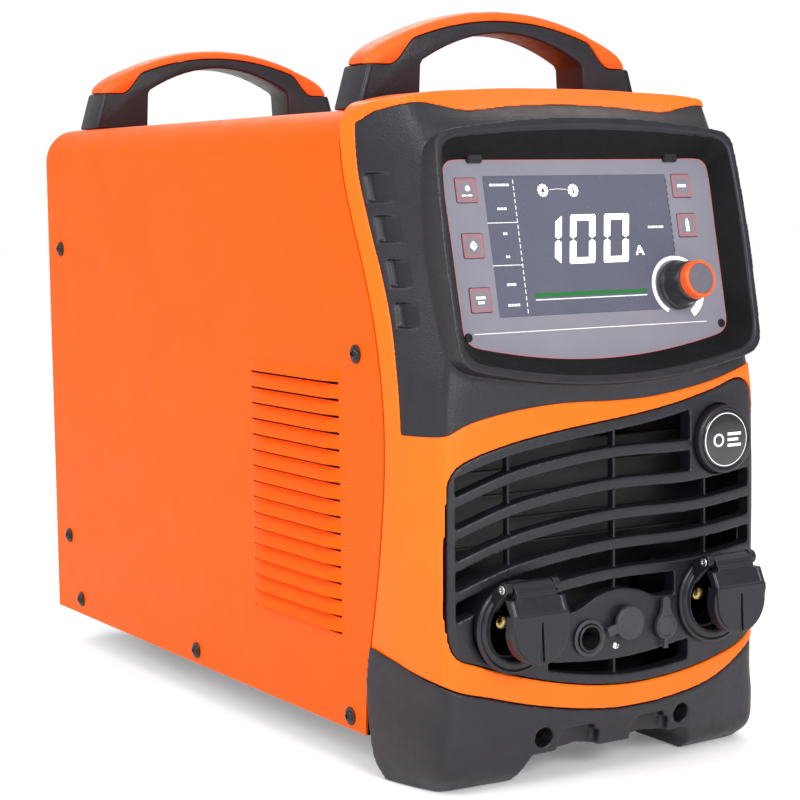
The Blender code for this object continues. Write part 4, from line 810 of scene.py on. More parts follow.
def front_bumper():
    plan = {0: (130, 68, 117.5, 25.4, 21), 8: (133.5, 74, 121.5, 15, 13), 24: (136.2, 76.6, 122.5, 11.5, 6),
        45: (137, 78.5, 120, 10.5, 1.8), 64: (137, 77, 119.5, 10, 0.4)}
    fits = [smooth_curve(*[(z, row[k]) for z, row in plan.items()]) for k in range(5)]
    rows, top = [], max(plan) / 1000
    for z in spread(0, top, 25):
        back_x, back_y, corner_x, corner_y, middle_y = (fit(z) for fit in fits)

        def height(x, share=z / top):
            return share * (bumper_top(x) - GAP)
        rows.append(wrapped_ring((corner_x, corner_y), back_x, middle_y,
            lambda z, back_y=back_y: min(back_y, seam_depth(z)), height))
    bumper = build("lower_front", loft_mesh(rows, "pointed"))
    arch = mm((-69, -20), (-65.5, 8), (-60, 18), (-44, 18.5), (-25, 20.5), (-12, 18), (12, 18), (25, 20.5),
        (44, 18.5), (60, 18), (65.5, 8), (69, -20))
    pockets = []
    for side in (-1, 1):
        low, high = sorted((side * 0.0125, side * 0.043))
        pocket = box_mesh((low, -0.01, 0.01), (high, 0.0105, 0.033))
        edges = [e for e in pocket.edges if abs(e.verts[0].co.y - e.verts[1].co.y) > 0.01]
        bmesh.ops.bevel(pocket, geom=edges, offset=0.004, segments=4, affect="EDGES")
        pockets += [pocket, rod_mesh("y", 0.0062, -0.01, 0.02, (side * 0.0535, 0.029))]
    carve(bumper, "DIFFERENCE", prism_mesh(arch, "y", -0.05, 0.15),
        box_mesh(*mm((-119, 16, 22), (119, 150, 100))), merged(*pockets))
    melt(bumper, 0.001, 7)
    finish_piece(bumper, "black", "front_bumper")


def seam_shade_strip():
    """Black strip under the open line between the case and the moulded front; its near-black colour is
    painted shade in the gap.
    """
    edges = [[(x, seam_depth(z) + back, z) for x, z in case_profile(inset)]
        for back, inset in ((0.0001, 0.0018), (0.008, 0.0018), (0.008, 0.003), (0.0001, 0.003))]
    finish_piece(crisp(build("seam_shade_strip", loft_mesh(list(zip(*edges)), "fan"))), "recess", slot="rubber")


def inner_divider():
    """Folded chassis plate inside the case, along its left side."""
    outline = mm((-100.5, 29), (-100.5, 370), (-85, 370), (-85, 368.5), (-99, 368.5), (-99, 29))
    plate = build("inner_divider", prism_mesh(outline, "y", 0.108, 0.535))
    holes = [rod_mesh("x", 0.01, -0.12, -0.08, (d, 0.32), 32) for d in (0.18, 0.33, 0.48)]
    carve(plate, "DIFFERENCE", merged(*holes))
    finish_piece(crisp(plate), "black_sheet")


def shade_wall_mesh(side):
    """Curved dark wall inside the moulded front, beside the grille: painted shade over the orange inside of
    the moulding.
    """
    rows = []
    for z in spread(0.08, 0.25, 13):
        corner_x, corner_y = corner_half(z) - WALL, corner_depth(z) + WALL
        line = [(corner_x + (HALF_WIDTH - WALL - corner_x) * wing_swell(t), corner_y
            + (seam_depth(z) + 0.02 - corner_y) * t) for t in spread(0.2, 0.85, 9)]
        rows.append([(side * (x - 0.0006), y, z) for x, y in line]
            + [(side * (x - 0.0016), y, z) for x, y in reversed(line)])
    return loft_mesh(rows)


def painted_shade_plate():
    """Dark ribbed plate inside, behind the grille, with a curved wall at each end: a near-black sheet that
    puts painted shade behind the slots.
    """
    for side, word in SIDES:
        finish_piece(crisp(build(f"painted_shade_wall_{word}", shade_wall_mesh(side))), "bore_and_shade_black")
    plate = build("painted_shade_plate", box_mesh(*mm((-126, 60, 45), (126, 61.5, 260))))
    ribs = [box_mesh((-0.126, 0.0575, z), (0.126, 0.0605, z + 0.0016)) for z in spread(0.14, 0.25, 8)]
    carve(plate, "UNION", merged(*ribs))
    edge_round(plate, 0.0003, 2)
    finish_piece(plate, "bore_and_shade_black")


# ---- display and its controls ----
FILM, INK = -SET_BACK, 0.00008
BUTTONS = {"left_upper": (-87.2, 19), "left_middle": (-87, 52.9), "left_lower": (-86.6, 86),
    "right_upper": (78.9, 18), "right_lower": (79.5, 43.7)}
KNOB_X, KNOB_DOWN = 63.8, 82.4
KEY_RISE = 0.0006
CLIP_PLACES, SCREW_ACROSS = {"left": -0.0793, "right": 0.0715}, {"left": -98.6, "right": 97}


def ring_mesh(*levels):
    """A closed ring through outlines of the same length, each at its own level."""
    data = bmesh.new()
    rings = [[data.verts.new((x, y, z)) for x, y in outline] for outline, z in levels]
    for a, b in zip(rings, rings[1:] + rings[:1]):
        for i in range(len(a)):
            j = (i + 1) % len(a)
            data.faces.new((a[i], a[j], b[j], b[i]))
    bmesh.ops.recalc_face_normals(data, faces=data.faces)
    return data


def band_mesh(outer, inner, low, high):
    """A flat ring between two closed outlines with as many points each."""
    return ring_mesh((outer, low), (outer, high), (inner, high), (inner, low))


def on_panel(outline):
    """Metres in the display's plane, from millimetres across and down from the fascia's top edge."""
    return [(x / 1000, FASCIA_TOP - s / 1000) for x, s in outline]


def mark(outline, lift=0):
    return prism_mesh(on_panel(outline), "z", FILM + lift, FILM + lift + INK)


def block(x, s, wide, tall):
    return [(x - wide / 2, s - tall / 2), (x + wide / 2, s - tall / 2), (x + wide / 2, s + tall / 2),
        (x - wide / 2, s + tall / 2)]


def dashes(x, s, widths, tall=1.5, gap=0.5, lift=0):
    """A row of short plain dashes, centred on x."""
    start, out = x - (sum(widths) + gap * (len(widths) - 1)) / 2, []
    for wide in widths:
        out.append(mark(block(start + wide / 2, s, wide, tall), lift))
        start += wide + gap
    return out


def rounded_square(half, radius, x=0, y=0):
    corners = [(1, 1, 0), (-1, 1, 90), (-1, -1, 180), (1, -1, 270)]
    return [point for a, b, start in corners for point in arc(x + a * (half - radius), y + b
        * (half - radius), radius, start, start + 90, 6)]


def inked(name, look, marks, body="unit"):
    finish_piece(build(name, merged(*marks), PANEL_FRAME), look, body=body)


def window_outline(grow=0):
    """Display area: a rectangle that makes room for the knob's scale at its lower right."""
    left, top, right, low = -74 - grow, 10.4 - grow, 66.5 + grow, 97 + grow
    reach = 19.6 - grow
    start, end = degrees(acos((right - KNOB_X) / reach)), 180 + degrees(asin((low - KNOB_DOWN) / reach))
    bay = [(KNOB_X + reach * cos(radians(a)), KNOB_DOWN - reach * sin(radians(a)))
        for a in spread(start, end, 24)]
    return [(left, top), (right, top)] + bay + [(left, low)]


def display_panel():
    sheet = between_outlines((fascia_outline(), FILM - 0.003), (fascia_outline(), FILM))
    film = build("panel_film", sheet, PANEL_FRAME)
    holes = [prism_mesh(rounded_square(0.0078, 0.0013, *on_panel([place])[0]), "z", FILM - 0.01, FILM
        + 0.01) for place in BUTTONS.values()]
    holes.append(shifted(rod_mesh("z", 0.0037, FILM - 0.01, FILM + 0.01),
        (*on_panel([(KNOB_X, KNOB_DOWN)])[0], 0)))
    holes.append(prism_mesh(on_panel(window_outline(0.15)), "z", FILM - 0.0012, FILM + 0.01))
    carve(film, "DIFFERENCE", merged(*holes), where=PANEL_FRAME)
    crisp(film)
    finish_piece(film, "film", "display_fascia")
    window = build("display_window", prism_mesh(on_panel(window_outline()), "z", FILM - 0.001, FILM),
        PANEL_FRAME)
    crisp(window)
    finish_piece(window, "window", "display_glass")
    for _, word in SIDES:
        middle = CLIP_PLACES[word]
        clip = box_mesh((middle - 0.0054, FASCIA_TOP - 0.0024, FILM - 0.001),
            (middle + 0.0054, FASCIA_TOP + 0.004, FILM + 0.0026))
        bmesh.ops.bevel(clip, geom=clip.edges, offset=0.0007, segments=3, affect="EDGES")
        finish_piece(crisp(build(f"panel_clip_{word}", clip, PANEL_FRAME)), "black")
        head = mm((0, 0.3), (0.9, 0.4), (1.2, 1), (2.4, 1), (2.7, 0.6), (2.7, 0.1), (0, 0.1))
        spot = on_panel([(SCREW_ACROSS[word], 108.2)])[0]
        turned_piece(f"panel_screw_{word}", "screw", head, (*spot, FILM), axis="z", sides=32, angle=50,
            where=PANEL_FRAME)


def painted_recess_shade():
    """Near-black sheet over the walls between the rim and the panel: painted shade in the recess."""
    lining = ring_mesh((panel_outline(0.0043), -0.0012), (panel_outline(0.0049), -0.0012),
        (fascia_outline(-0.0003), FILM + 0.0002), (fascia_outline(0.0004), FILM + 0.0002))
    finish_piece(crisp(build("painted_recess_shade", lining, PANEL_FRAME)), "recess")


def digit_marks(left, segments):
    """A slanted seven-segment digit: a is its top bar, then clockwise to f."""
    wide, tall, stroke, beam, gap = 19.6, 30.8, 5.2, 3.9, 0.3
    upper = [(wide - stroke + gap, beam + gap), (wide, 2 * gap), (wide, tall / 2 - 1.7),
        (wide - stroke / 2, tall / 2 - 0.3), (wide - stroke + gap, tall / 2 - 1.7)]
    top = [(gap, 0), (wide - gap, 0), (wide - stroke, beam), (stroke, beam)]
    shapes = {"a": top, "d": [(x, tall - s) for x, s in top], "b": upper,
        "f": [(wide - x, s) for x, s in upper], "c": [(x, tall - s) for x, s in upper],
        "e": [(wide - x, tall - s) for x, s in upper]}
    return [mark([(left + x - 5.2 * s / tall, 35.1 + s) for x, s in shapes[key]]) for key in segments]


def ring_outline(radius, x, s, count=40):
    return [(x + radius * cos(a), s + radius * sin(a)) for a in spread(0, 2 * pi, count + 1)[:-1]]


def display_prints():
    """Readout, scale, lines and plain marks, each a thin printed layer."""
    inked("readout_digits", "digit", digit_marks(-18.4 - 19.6, "bc") + digit_marks(-12, "abcdef")
        + digit_marks(14.3, "abcdef"))
    unit_mark = merged(mark([(35.2, 61.9), (38, 55.7), (39.4, 55.7), (36.7, 61.9)]),
        mark([(40.7, 61.9), (38, 55.7), (39.4, 55.7), (42.2, 61.9)]),
        mark([(36.9, 59.4), (40.5, 59.4), (40.8, 60.4), (36.5, 60.4)]))
    inked("readout_unit", "digit", [unit_mark])
    icons = []
    for x, s in ((-30.5, 19.6), (-7.4, 19.9)):
        icons.append(mark([(x + r * cos(a), s + r * sin(a)) for r, a in zip((4.1, 4.1, 3.6, 3.6) * 12,
            spread(0, 2 * pi, 49)[:-1])]))
    icons.append(mark([(-25.6, 19.1), (-19, 18.7), (-12.4, 19.1), (-12.4, 19.3), (-19, 18.9),
        (-25.6, 19.3)]))
    inked("readout_icons", "digit", icons)
    inked("icon_figures", "dark_print", [mark([(-30.5, 17.7), (-28.9, 20.7), (-32.1, 20.7)], 0.0001),
        mark(block(-7.4, 19.9, 1.1, 4), 0.0001), mark(block(-30.5, 21.5, 2.8, 0.5), 0.0001)])
    pale = []
    for s, widths in ((15.9, (2.2, 1.8, 2, 1.8, 2, 1.9)), (30.6, (2, 1.7, 2)), (46, (1.4, 1.1)),
            (60.2, (1.3, 1.1)), (77.3, (1.9, 1.6, 2)), (89.9, (2, 1.6, 1.6, 1.9))):
        pale += dashes(-62.6, s, widths)
    pale += dashes(53.8, 44.2, (1.9, 1.4, 1.5, 1.9, 1.6, 1.5))
    pale += [mark(block(-52 - 0.01 * s, s, 0.5, 2.6)) for s in spread(14, 94, 21)]
    pale += [mark(block(-63.3, 39.2, 22.4, 0.4)), mark(block(-63.3, 65.4, 22.4, 0.4))]
    pale += [mark(block(-3, 87.4, 86, 0.55)), mark(block(-4.5, 106.4, 179, 0.4))]
    # The pale printed marks glow with painted light.
    inked("panel_lines", "white", pale)
    inked("level_bar", "green", [mark(block(-3, 84.6, 86, 2.5))])
    inked("dark_dashes", "dark_print", [mark(block(66.9, s, 0.55, 2.6)) for s in spread(14.5, 59, 12)])
    outer, inner = [], []
    for t in spread(0, 1, 64):
        angle = radians(242 - 301.5 * t)
        swell = min(max((t - 0.45) / 0.5, 0), 1)
        swell = swell * swell * (3 - 2 * swell)
        for line, radius in ((outer, 18.8 + 4.7 * swell), (inner, 16.6 + 2.2 * swell)):
            line.append((KNOB_X + radius * cos(angle), KNOB_DOWN - radius * sin(angle)))
    # The printed scale takes the readout's glowing white: a painted glow.
    inked("knob_scale", "digit", [mark(outer + inner[::-1])])
    # The printed red border glows with painted light.
    inked("panel_border", "red", [band_mesh(fascia_outline(-0.0001), fascia_outline(-0.0007), FILM, FILM
        + INK)])


def keys():
    """Five square keys, each with a double outline and a plain figure."""
    for name, (x, s) in BUTTONS.items():
        middle = (*on_panel([(x, s)])[0], FILM)
        rows = [[(px, py, z) for px, py in rounded_square(half, 0.0012)]
            for half, z in ((0.0074, -0.0036), (0.0074, KEY_RISE - 0.0002), (0.00725, KEY_RISE))]
        cap = build(f"key_{name}", shifted(loft_mesh(rows, "fan"), middle), PANEL_FRAME)
        finish_piece(crisp(cap), "key", f"button_{name}", body=f"button_{name}")
        lines = [band_mesh(rounded_square(a, 0.0011, *middle[:2]), rounded_square(b, 0.0009, *middle[:2]),
            FILM + KEY_RISE, FILM + KEY_RISE + INK) for a, b in ((0.00722, 0.00682), (0.0058, 0.0054))]
        # The printed red outlines glow with painted light.
        inked(f"key_outline_{name}", "red", lines, f"button_{name}")
        figures = {"left_upper": [mark(ring_outline(1.7, x + 1, s - 1.2), KEY_RISE)]
            + dashes(x, s + 3.2, (3.2, 3.2), 0.8, 0.9, KEY_RISE),
            "left_middle": [mark([(x, s - 3), (x + 2.7, s - 0.35), (x - 2.7, s - 0.35)], KEY_RISE),
            mark([(x, s + 3), (x - 2.7, s + 0.35), (x + 2.7, s + 0.35)], KEY_RISE)],
            "left_lower": dashes(x, s - 1.4, (1.3, 1, 1.3, 1.2), 1.5, 0.5, KEY_RISE)
            + dashes(x, s + 1.6, (1.2, 1.3, 1), 1.5, 0.5, KEY_RISE),
            "right_upper": dashes(x, s, (1.5, 1.4, 1.4, 1.3), 1.7, 0.4, KEY_RISE),
            "right_lower": [mark([(x - 0.6, s - 4.3), (x + 0.6, s - 4.3), (x + 0.6, s - 3.2),
            (x + 1.25, s - 2.3), (x + 1.25, s + 3.9), (x - 1.25, s + 3.9), (x - 1.25, s - 2.3),
            (x - 0.6, s - 3.2)], KEY_RISE)]}
        # The printed figures take the readout's glowing white: a painted glow.
        inked(f"key_figure_{name}", "digit", figures[name], f"button_{name}")


def knob():
    """Push-and-turn knob: black skirt, orange ring and a grey face."""
    at, how = (*on_panel([(KNOB_X, KNOB_DOWN)])[0], FILM), {"axis": "z", "where": PANEL_FRAME,
        "body": "knob"}
    skirt = mm((0, 18), (3.3, 18), (3.3, 2), (4.5, 2), (4.5, 1.4), (15.2, 1.4), (15.7, 1.9), (15.6, 4.6),
        (15.3, 5), (14.7, 5.3), (14.3, 6), (13.9, 9.6), (13.3, 14), (12.7, 17.2), (12.3, 18.1),
        (11.6, 18.6), (9.6, 18.7), (9.4, 25.3), (0, 25.4))
    turned_piece("knob_skirt", "knob", skirt, at, "knob_body", angle=40, **how)
    ring = mm((9.7, 19), (11.7, 19), (12.1, 19.4), (12, 23.6), (11.8, 25), (11.4, 25.7), (10.7, 26),
        (9.9, 25.9), (9.7, 25.6), (9.7, 19))
    turned_piece("knob_collar", "knob_orange", ring, at, "knob_ring", angle=50, **how)
    face = mm((0, 25.9), (8.8, 25.9), (9.4, 25.8), (9.6, 25.4), (9.4, 25.3), (0, 25.35))
    turned_piece("knob_face", "knob_face", face, at, angle=50, **how)


# ---- badge, sockets and connectors ----
HINGE_FORWARD, HINGE_UP, LID_FACE = 0.0165, 0.027, -0.0135


def badge():
    rim = mm((0, 14), (21.8, 14), (22, 13.6), (22, 0), (21.6, -1.2), (20.8, -1.9), (19.6, -2.1), (19, -1.8),
        (18.7, -1.2), (18.4, -1), (0, -1))
    turned_piece("badge_rim", "smooth_black", rim, BADGE_AT, "badge", angle=45, slot="gloss_black")
    dome = mm((0, -0.9), (18.3, -0.9), (18.2, -1.4)) + [(0.0182 * cos(a), -0.0014 - 0.0016 * sin(a))
        for a in spread(0.1, pi / 2, 12)]
    dome[-1] = (0, -0.003)
    turned_piece("badge_dome", "gloss", dome, BADGE_AT, angle=50)

    def skin(radius):
        return -0.0014 - 0.0016 * sqrt(max(1 - (radius / 0.0182)**2, 0)) - 0.00006

    ring = [(r, skin(r) + dy) for r, dy in ((0.0166, 0), (0.0171, 0), (0.0171, 0.0002), (0.0166, 0.0002))]
    figure = [shifted(turned_mesh(ring + ring[:1], "y", 96), BADGE_AT)]
    small = mm((3, -3.05), (4.2, -3.05), (4.2, -2.6), (3, -2.6), (3, -3.05))
    figure.append(shifted(turned_mesh(small, "y", 40), BADGE_AT + Vector((-0.0068, 0, 0))))
    for k, wide in enumerate((0.011, 0.0088, 0.011)):
        low = 0.0026 - k * 0.0036
        figure.append(shifted(box_mesh((0.0004, -0.00306, low), (0.0004 + wide, -0.0026, low + 0.0018)),
            BADGE_AT))
    # The white printed figure glows with painted light.
    finish_piece(build("badge_figure", merged(*figure)), "white")


def socket(word, x, body):
    """Round power socket: stepped flange, deep bore, contact, hinge and a sprung lid."""
    at = Vector((x, SOCKET_DEPTH, SOCKET_Z))
    flange = mm((28.2, -1.5), (28.8, -1.8), (29, -2.4), (28.9, -3.4), (28.3, -4), (27, -4.2), (26.5, -3.8),
        (26.1, -3.6), (25.7, -3.9), (25.3, -4.8), (24.7, -5.3), (21.6, -5.3), (20.9, -4.8), (20.5, -3),
        (20.3, 6), (19.7, 6.6), (19, 6.8), (18.7, 7.4), (18.6, 20), (17.9, 20.6), (17.8, 38), (4.8, 38),
        (4.8, 44), (25.5, 44), (25.5, -1.5), (28.2, -1.5))
    turned_piece(f"{word}_socket_flange", "smooth_black", flange, at, f"{word}_socket_housing", angle=40)
    arms = []
    for side in (-1, 1):
        low, high = sorted((side * 0.015, side * 0.0186))
        arms.append(prism_mesh([(-0.004, 0.011), (-0.004, 0.0246), (-0.013, 0.0296), (-HINGE_FORWARD, 0.03),
            (-HINGE_FORWARD - 0.003, HINGE_UP), (-HINGE_FORWARD, HINGE_UP - 0.0044), (-0.011, 0.018)], "x",
            low, high))
    arm = build(f"{word}_hinge_arms", shifted(merged(*arms), at))
    low, high = 0.0149, 0.0196
    knuckles = merged(rod_mesh("x", 0.0045, -high, -low, (-HINGE_FORWARD, HINGE_UP)),
        rod_mesh("x", 0.0045, low, high, (-HINGE_FORWARD, HINGE_UP)))
    carve(arm, "UNION", shifted(knuckles, at))
    carve(arm, "DIFFERENCE", shifted(rod_mesh("x", 0.0022, -0.03, 0.03, (-HINGE_FORWARD, HINGE_UP)), at))
    melt(arm, 0.0004, 3, 0.6)
    finish_piece(arm, "smooth_black")
    tip = mm((0, 12), (3, 12), (4.2, 12.8), (4.5, 14.2), (4.5, 55.8), (0, 56))
    turned_piece(f"{word}_contact", "brass", tip, at, f"{word}_socket_contact", sides=48)
    hinge = at + Vector((0, -HINGE_FORWARD, HINGE_UP))
    half = mm((1.9, 0), (1.9, 19.6), (2.6, 19.7), (2.8, 20.1), (2.6, 20.5), (1.5, 20.5), (1.2, 20.2),
        (1.1, 18.6), (0, 18.5))
    turned_piece(f"{word}_pin", "steel", [(r, -y) for r, y in reversed(half)] + half[1:], hinge,
        f"{word}_hinge_pin", axis="x", sides=40)
    socket_lid(word, hinge, body)


def socket_lid(word, hinge, body):
    """Lid seen from its hinge: a sloping bordered panel, then an upright cup with a round foot."""
    foot, start, slope = 0.002 - HINGE_UP, Vector((0, -0.0052, 0.001)), Vector((0, -0.4285, -0.9035))
    turn = Matrix.Rotation(atan2(slope.y, -slope.z), 3, "X")
    lid = build(f"{word}_lid", rod_mesh("x", 0.004, -0.0142, 0.0142))
    panel = prism_mesh([(0.001, 0.0036), (-0.0026, 0.0031), (start.y, start.z), (LID_FACE, -0.0165),
        (LID_FACE, -0.02), (-0.0098, -0.02), (-0.0094, -0.0165), (-0.0004, -0.0034)], "x", -0.0198, 0.0198)
    cup = prism_mesh([(0.0198, -0.015), (-0.0198, -0.015)] + arc(0, foot, 0.0208, 180, 360, 48), "y",
        LID_FACE, LID_FACE + 0.0095)
    front = [e for e in cup.edges if all(abs(v.co.y - LID_FACE) < 1e-6 and v.co.z < -0.0151
        for v in e.verts)]
    bmesh.ops.bevel(cup, geom=front, offset=0.0018, segments=4, affect="EDGES")
    frame_at = start + slope * 0.0112
    plate = shifted(box_mesh(*mm((-18.2, -0.4, -7.2), (18.2, 0.6, 7.2))), frame_at, turn)
    carve(lid, "UNION", panel, cup, plate)
    label = shifted(box_mesh(*mm((-16.8, -1.4, -5.9), (16.8, 0.1, 5.9))), frame_at, turn)
    trims = merged(*[box_mesh((min(side * 0.0144, side * 0.023), -0.03, -0.0054),
        (max(side * 0.0144, side * 0.023), 0.01, 0.006)) for side in (-1, 1)])
    inner = arc(0, foot, 0.0182, 180, 360, 36)
    hollow = prism_mesh([(0.017, -0.019), (-0.017, -0.019)] + inner, "y", LID_FACE + 0.003, LID_FACE + 0.03)
    groove = prism_mesh(mm((-0.4, -19), (0.4, -19), (1.7, -48), (-1.7, -48)), "y", LID_FACE - 0.01, LID_FACE
        + 0.0022)
    carve(lid, "DIFFERENCE", label, trims, hollow, groove, rod_mesh("x", 0.0023, -0.03, 0.03))
    melt(lid, 0.00042, 3)
    lid.matrix_world = DEPTH_FRAME @ Matrix.Translation(hinge)
    finish_piece(lid, "smooth_black", f"{word}_socket_lid", body=body)


def torch_connector():
    """Recessed threaded connector, its cap swung to the right, and the drop-shaped cap beside it."""
    at = Vector((TORCH_AT[0], 0, TORCH_AT[1]))
    wall = mm((7, -2), (7.4, -2.5), (8.2, -2.6), (8.7, -2.2), (8.8, -1.4), (8.8, 30), (0, 30), (0, 22),
        (6.2, 22))
    wall += [(0.0066 + 0.0004 * (k % 2), 0.0205 - 0.0009 * k) for k in range(24)]
    turned_piece("torch_socket", "bore_and_shade_black", wall + wall[:1], at, "torch_connector", sides=64, angle=30,
        slot="socket_black")
    strap = mm((9.2, -0.4), (9.2, -1.2), (9.7, -1.6), (11.2, -1.6), (11.7, -1.2), (11.7, -0.4), (9.2, -0.4))
    turned_piece("strap_ring", "soft", strap, at, sides=64, angle=50)
    disc = mm((0, 1.2), (10.6, 1.2), (10.8, 0.8), (10.8, -0.8), (10.4, -1.6), (9.6, -2), (8, -2),
        (7.6, -1.7), (7.4, -1.5), (0, -1.5))
    cap = build("torch_dust_disc", shifted(turned_mesh(disc, "y", 64), (CAP_AT[0], -0.0045, CAP_AT[1])))
    swing = Vector(((TORCH_AT[0] + CAP_AT[0]) / 2, -0.0045, (TORCH_AT[1] + CAP_AT[1]) / 2))
    lean = -atan2(CAP_AT[1] - TORCH_AT[1], CAP_AT[0] - TORCH_AT[0])
    tongue = box_mesh(*mm((-3, -1, -3), (5, 0.6, 3)))
    carve(cap, "UNION", shifted(tongue, swing, Matrix.Rotation(lean, 3, "Y")))
    edge_round(cap, 0.0003, 2)
    finish_piece(cap, "soft", "torch_cap", body="torch_dust_cap")
    drop = [(0.008 * cos(radians(a)), 0.008 * sin(radians(a))) for a in spread(-220, 40, 40)]
    drop += mm((4.2, 8.6), (3, 12), (2.8, 16.5)) + arc(0, 0.0165, 0.0028, 0, 180, 9)[1:-1]
    drop += mm((-2.8, 16.5), (-3, 12), (-4.2, 8.6))
    flap = build("control_flap", prism_mesh(drop, "y", -0.0018, 0.0014))
    lip = turned_mesh(mm((5.8, -1), (5.8, -2.6), (6.2, -3), (6.8, -3), (7.1, -2.6), (7.1, -1), (5.8, -1)),
        "y", 48)
    tab = prism_mesh(mm((-1.2, -7), (-1.2, -11.8), (-2, -12.4), (-1.8, -14), (1.8, -14), (2, -12.4),
        (1.2, -11.8), (1.2, -7)), "y", -0.001, 0.001)
    carve(flap, "UNION", lip, tab)
    melt(flap, 0.0003, 3, 0.6)
    flap.matrix_world = DEPTH_FRAME @ Matrix.Translation((CONTROL_AT[0], -0.0022, CONTROL_AT[1]))
    finish_piece(flap, "soft", "control_cap", body="control_dust_cap")
    head = turned_mesh(mm((0, -2.2), (1.2, -2.1), (2.2, -1.6), (2.7, -0.8), (2.7, 0.4), (1.2, 0.4),
        (1.2, 8), (0, 8)), "y", 32)
    screw = build("plate_screw", shifted(head, (-0.0026, 0, 0.0811)))
    cross = shifted(cross_mesh("y", 0.0015, 0.0004, 0.0012), (-0.0026, -0.0022, 0.0811),
        Matrix.Rotation(0.5, 3, "Y"))
    carve(screw, "DIFFERENCE", cross)
    finish_piece(crisp(screw), "steel")


# ---- handles ----
HANDLES = {"front": 0.1207, "rear": 0.532}
HANDLE_THICK, HANDLE_BASE, HANDLE_TIP, HANDLE_OPENING = 0.031, 0.1115, 0.103, 0.0637
grip_top = smooth_curve((0, 480), (25, 478.3), (50, 473.1), (75, 464.5), (90, 457.8), (99, 452),
    (103, 448.2))


def grip_line(x):
    """Height of the joint between the black handle and its orange grip."""
    ease = min(max((0.088 - abs(x)) / 0.02, 0), 1)
    ease = ease * ease * (3 - 2 * ease)
    return 0.4437 * (1 - ease) + (0.4729 - 2.6 * x * x) * ease


def handle(word, front):
    back, base = front + HANDLE_THICK, CASE_TOP + GAP
    line = [(x, grip_line(x)) for x in spread(0, HANDLE_TIP, 48)]
    leg = [(HANDLE_BASE, base), (HANDLE_OPENING + 0.0015, base), (HANDLE_OPENING, 0.444)]
    under = [(x, 0.465 - 0.0193 * (x / HANDLE_OPENING)**2) for x in spread(0.062, 0, 24)]
    bridge = build(f"{word}_handle_bridge", prism_mesh(mirrored_outline(line + leg + under), "y", front,
        back))
    grooves = []
    for side in (-1, 1):
        for face in (front, back):
            low, high = (HANDLE_TIP - 0.0032, 0.4437), (HANDLE_BASE - 0.0032, base)
            strip = [(low[0] - 0.00035, low[1]), (low[0] + 0.00035, low[1]),
                (high[0] + 0.00035, high[1] + 0.0002), (high[0] - 0.00035, high[1] + 0.0002)]
            grooves.append(prism_mesh([(side * x, z) for x, z in strip], "y", face - 0.0006, face + 0.0006))
    edge_round(bridge, 0.0018, 3, 50)
    carve(bridge, "DIFFERENCE", merged(*grooves))
    crisp(bridge, 40)
    finish_piece(bridge, "black", f"{word}_handle")
    rows = []
    for t in spread(-1, 1, 97):
        x = HANDLE_TIP * sin(t * pi / 2)
        past = min(max((abs(x) - 0.093) / (HANDLE_TIP - 0.093), 0), 0.999)
        inset = 0.0075 * (1 - sqrt(1 - past**2))
        low, high = grip_line(x) + GAP, grip_top(abs(x))
        near, far = front + inset, back - inset
        radius = min(0.0068, (high - low) * 0.85, (far - near) * 0.45)
        crown = 0.0006
        ring = [(x, near + 0.0003, low), (x, near, low + 0.0004)]
        ring += [(x, y, z) for y, z in arc(near + radius, high - radius - crown, radius, 180, 90, 9)]
        ring += [(x, y, high - crown * (2 * (y - near) / (far - near) - 1)**2)
            for y in spread(near + radius, far - radius, 7)[1:-1]]
        ring += [(x, y, z) for y, z in arc(far - radius, high - radius - crown, radius, 90, 0, 9)]
        ring += [(x, far, low + 0.0004), (x, far - 0.0003, low)]
        rows.append(ring)
    grip = build(f"{word}_soft_grip", loft_mesh(rows, "fan"))
    crisp(grip, 50)
    finish_piece(grip, "grip", f"{word}_handle_grip")


# ---- rear fittings and feet ----
SKIN, FAN_AT = CASE_REAR - 0.002, (0, 0.15)


def wire_ring(radius, wire, depth, sides=96):
    """A round wire bent to a circle, in the plane of the rear panel."""
    loop = [(radius + wire * cos(a), wire * sin(a)) for a in spread(0, 2 * pi, 9)[:-1]]
    return shifted(turned_mesh(loop + loop[:1], "y", sides), (FAN_AT[0], depth, FAN_AT[1]))


def fan_guard():
    """Guard of five wire rings on four spokes, with a disc in the middle."""
    middle = SKIN + GAP + 0.0012
    parts = [wire_ring(radius, 0.001, middle) for radius in (0.012, 0.024, 0.036, 0.0475, 0.0575)]
    guard = build("fan_guard_wires", merged(*parts))
    for quarter in range(4):
        turn = turned_by(45 + 90 * quarter, "Y")
        spoke = rod_mesh("x", 0.0009, 0.01, 0.0578, (0, 0), 12)
        carve(guard, "UNION", shifted(spoke, (FAN_AT[0], middle, FAN_AT[1]), turn))
    hub = rod_mesh("y", 0.013, -0.0006, 0.0006, (0, 0), 48)
    carve(guard, "UNION", shifted(hub, (FAN_AT[0], middle, FAN_AT[1])))
    finish_piece(crisp(guard, 50), "steel", "fan_guard")


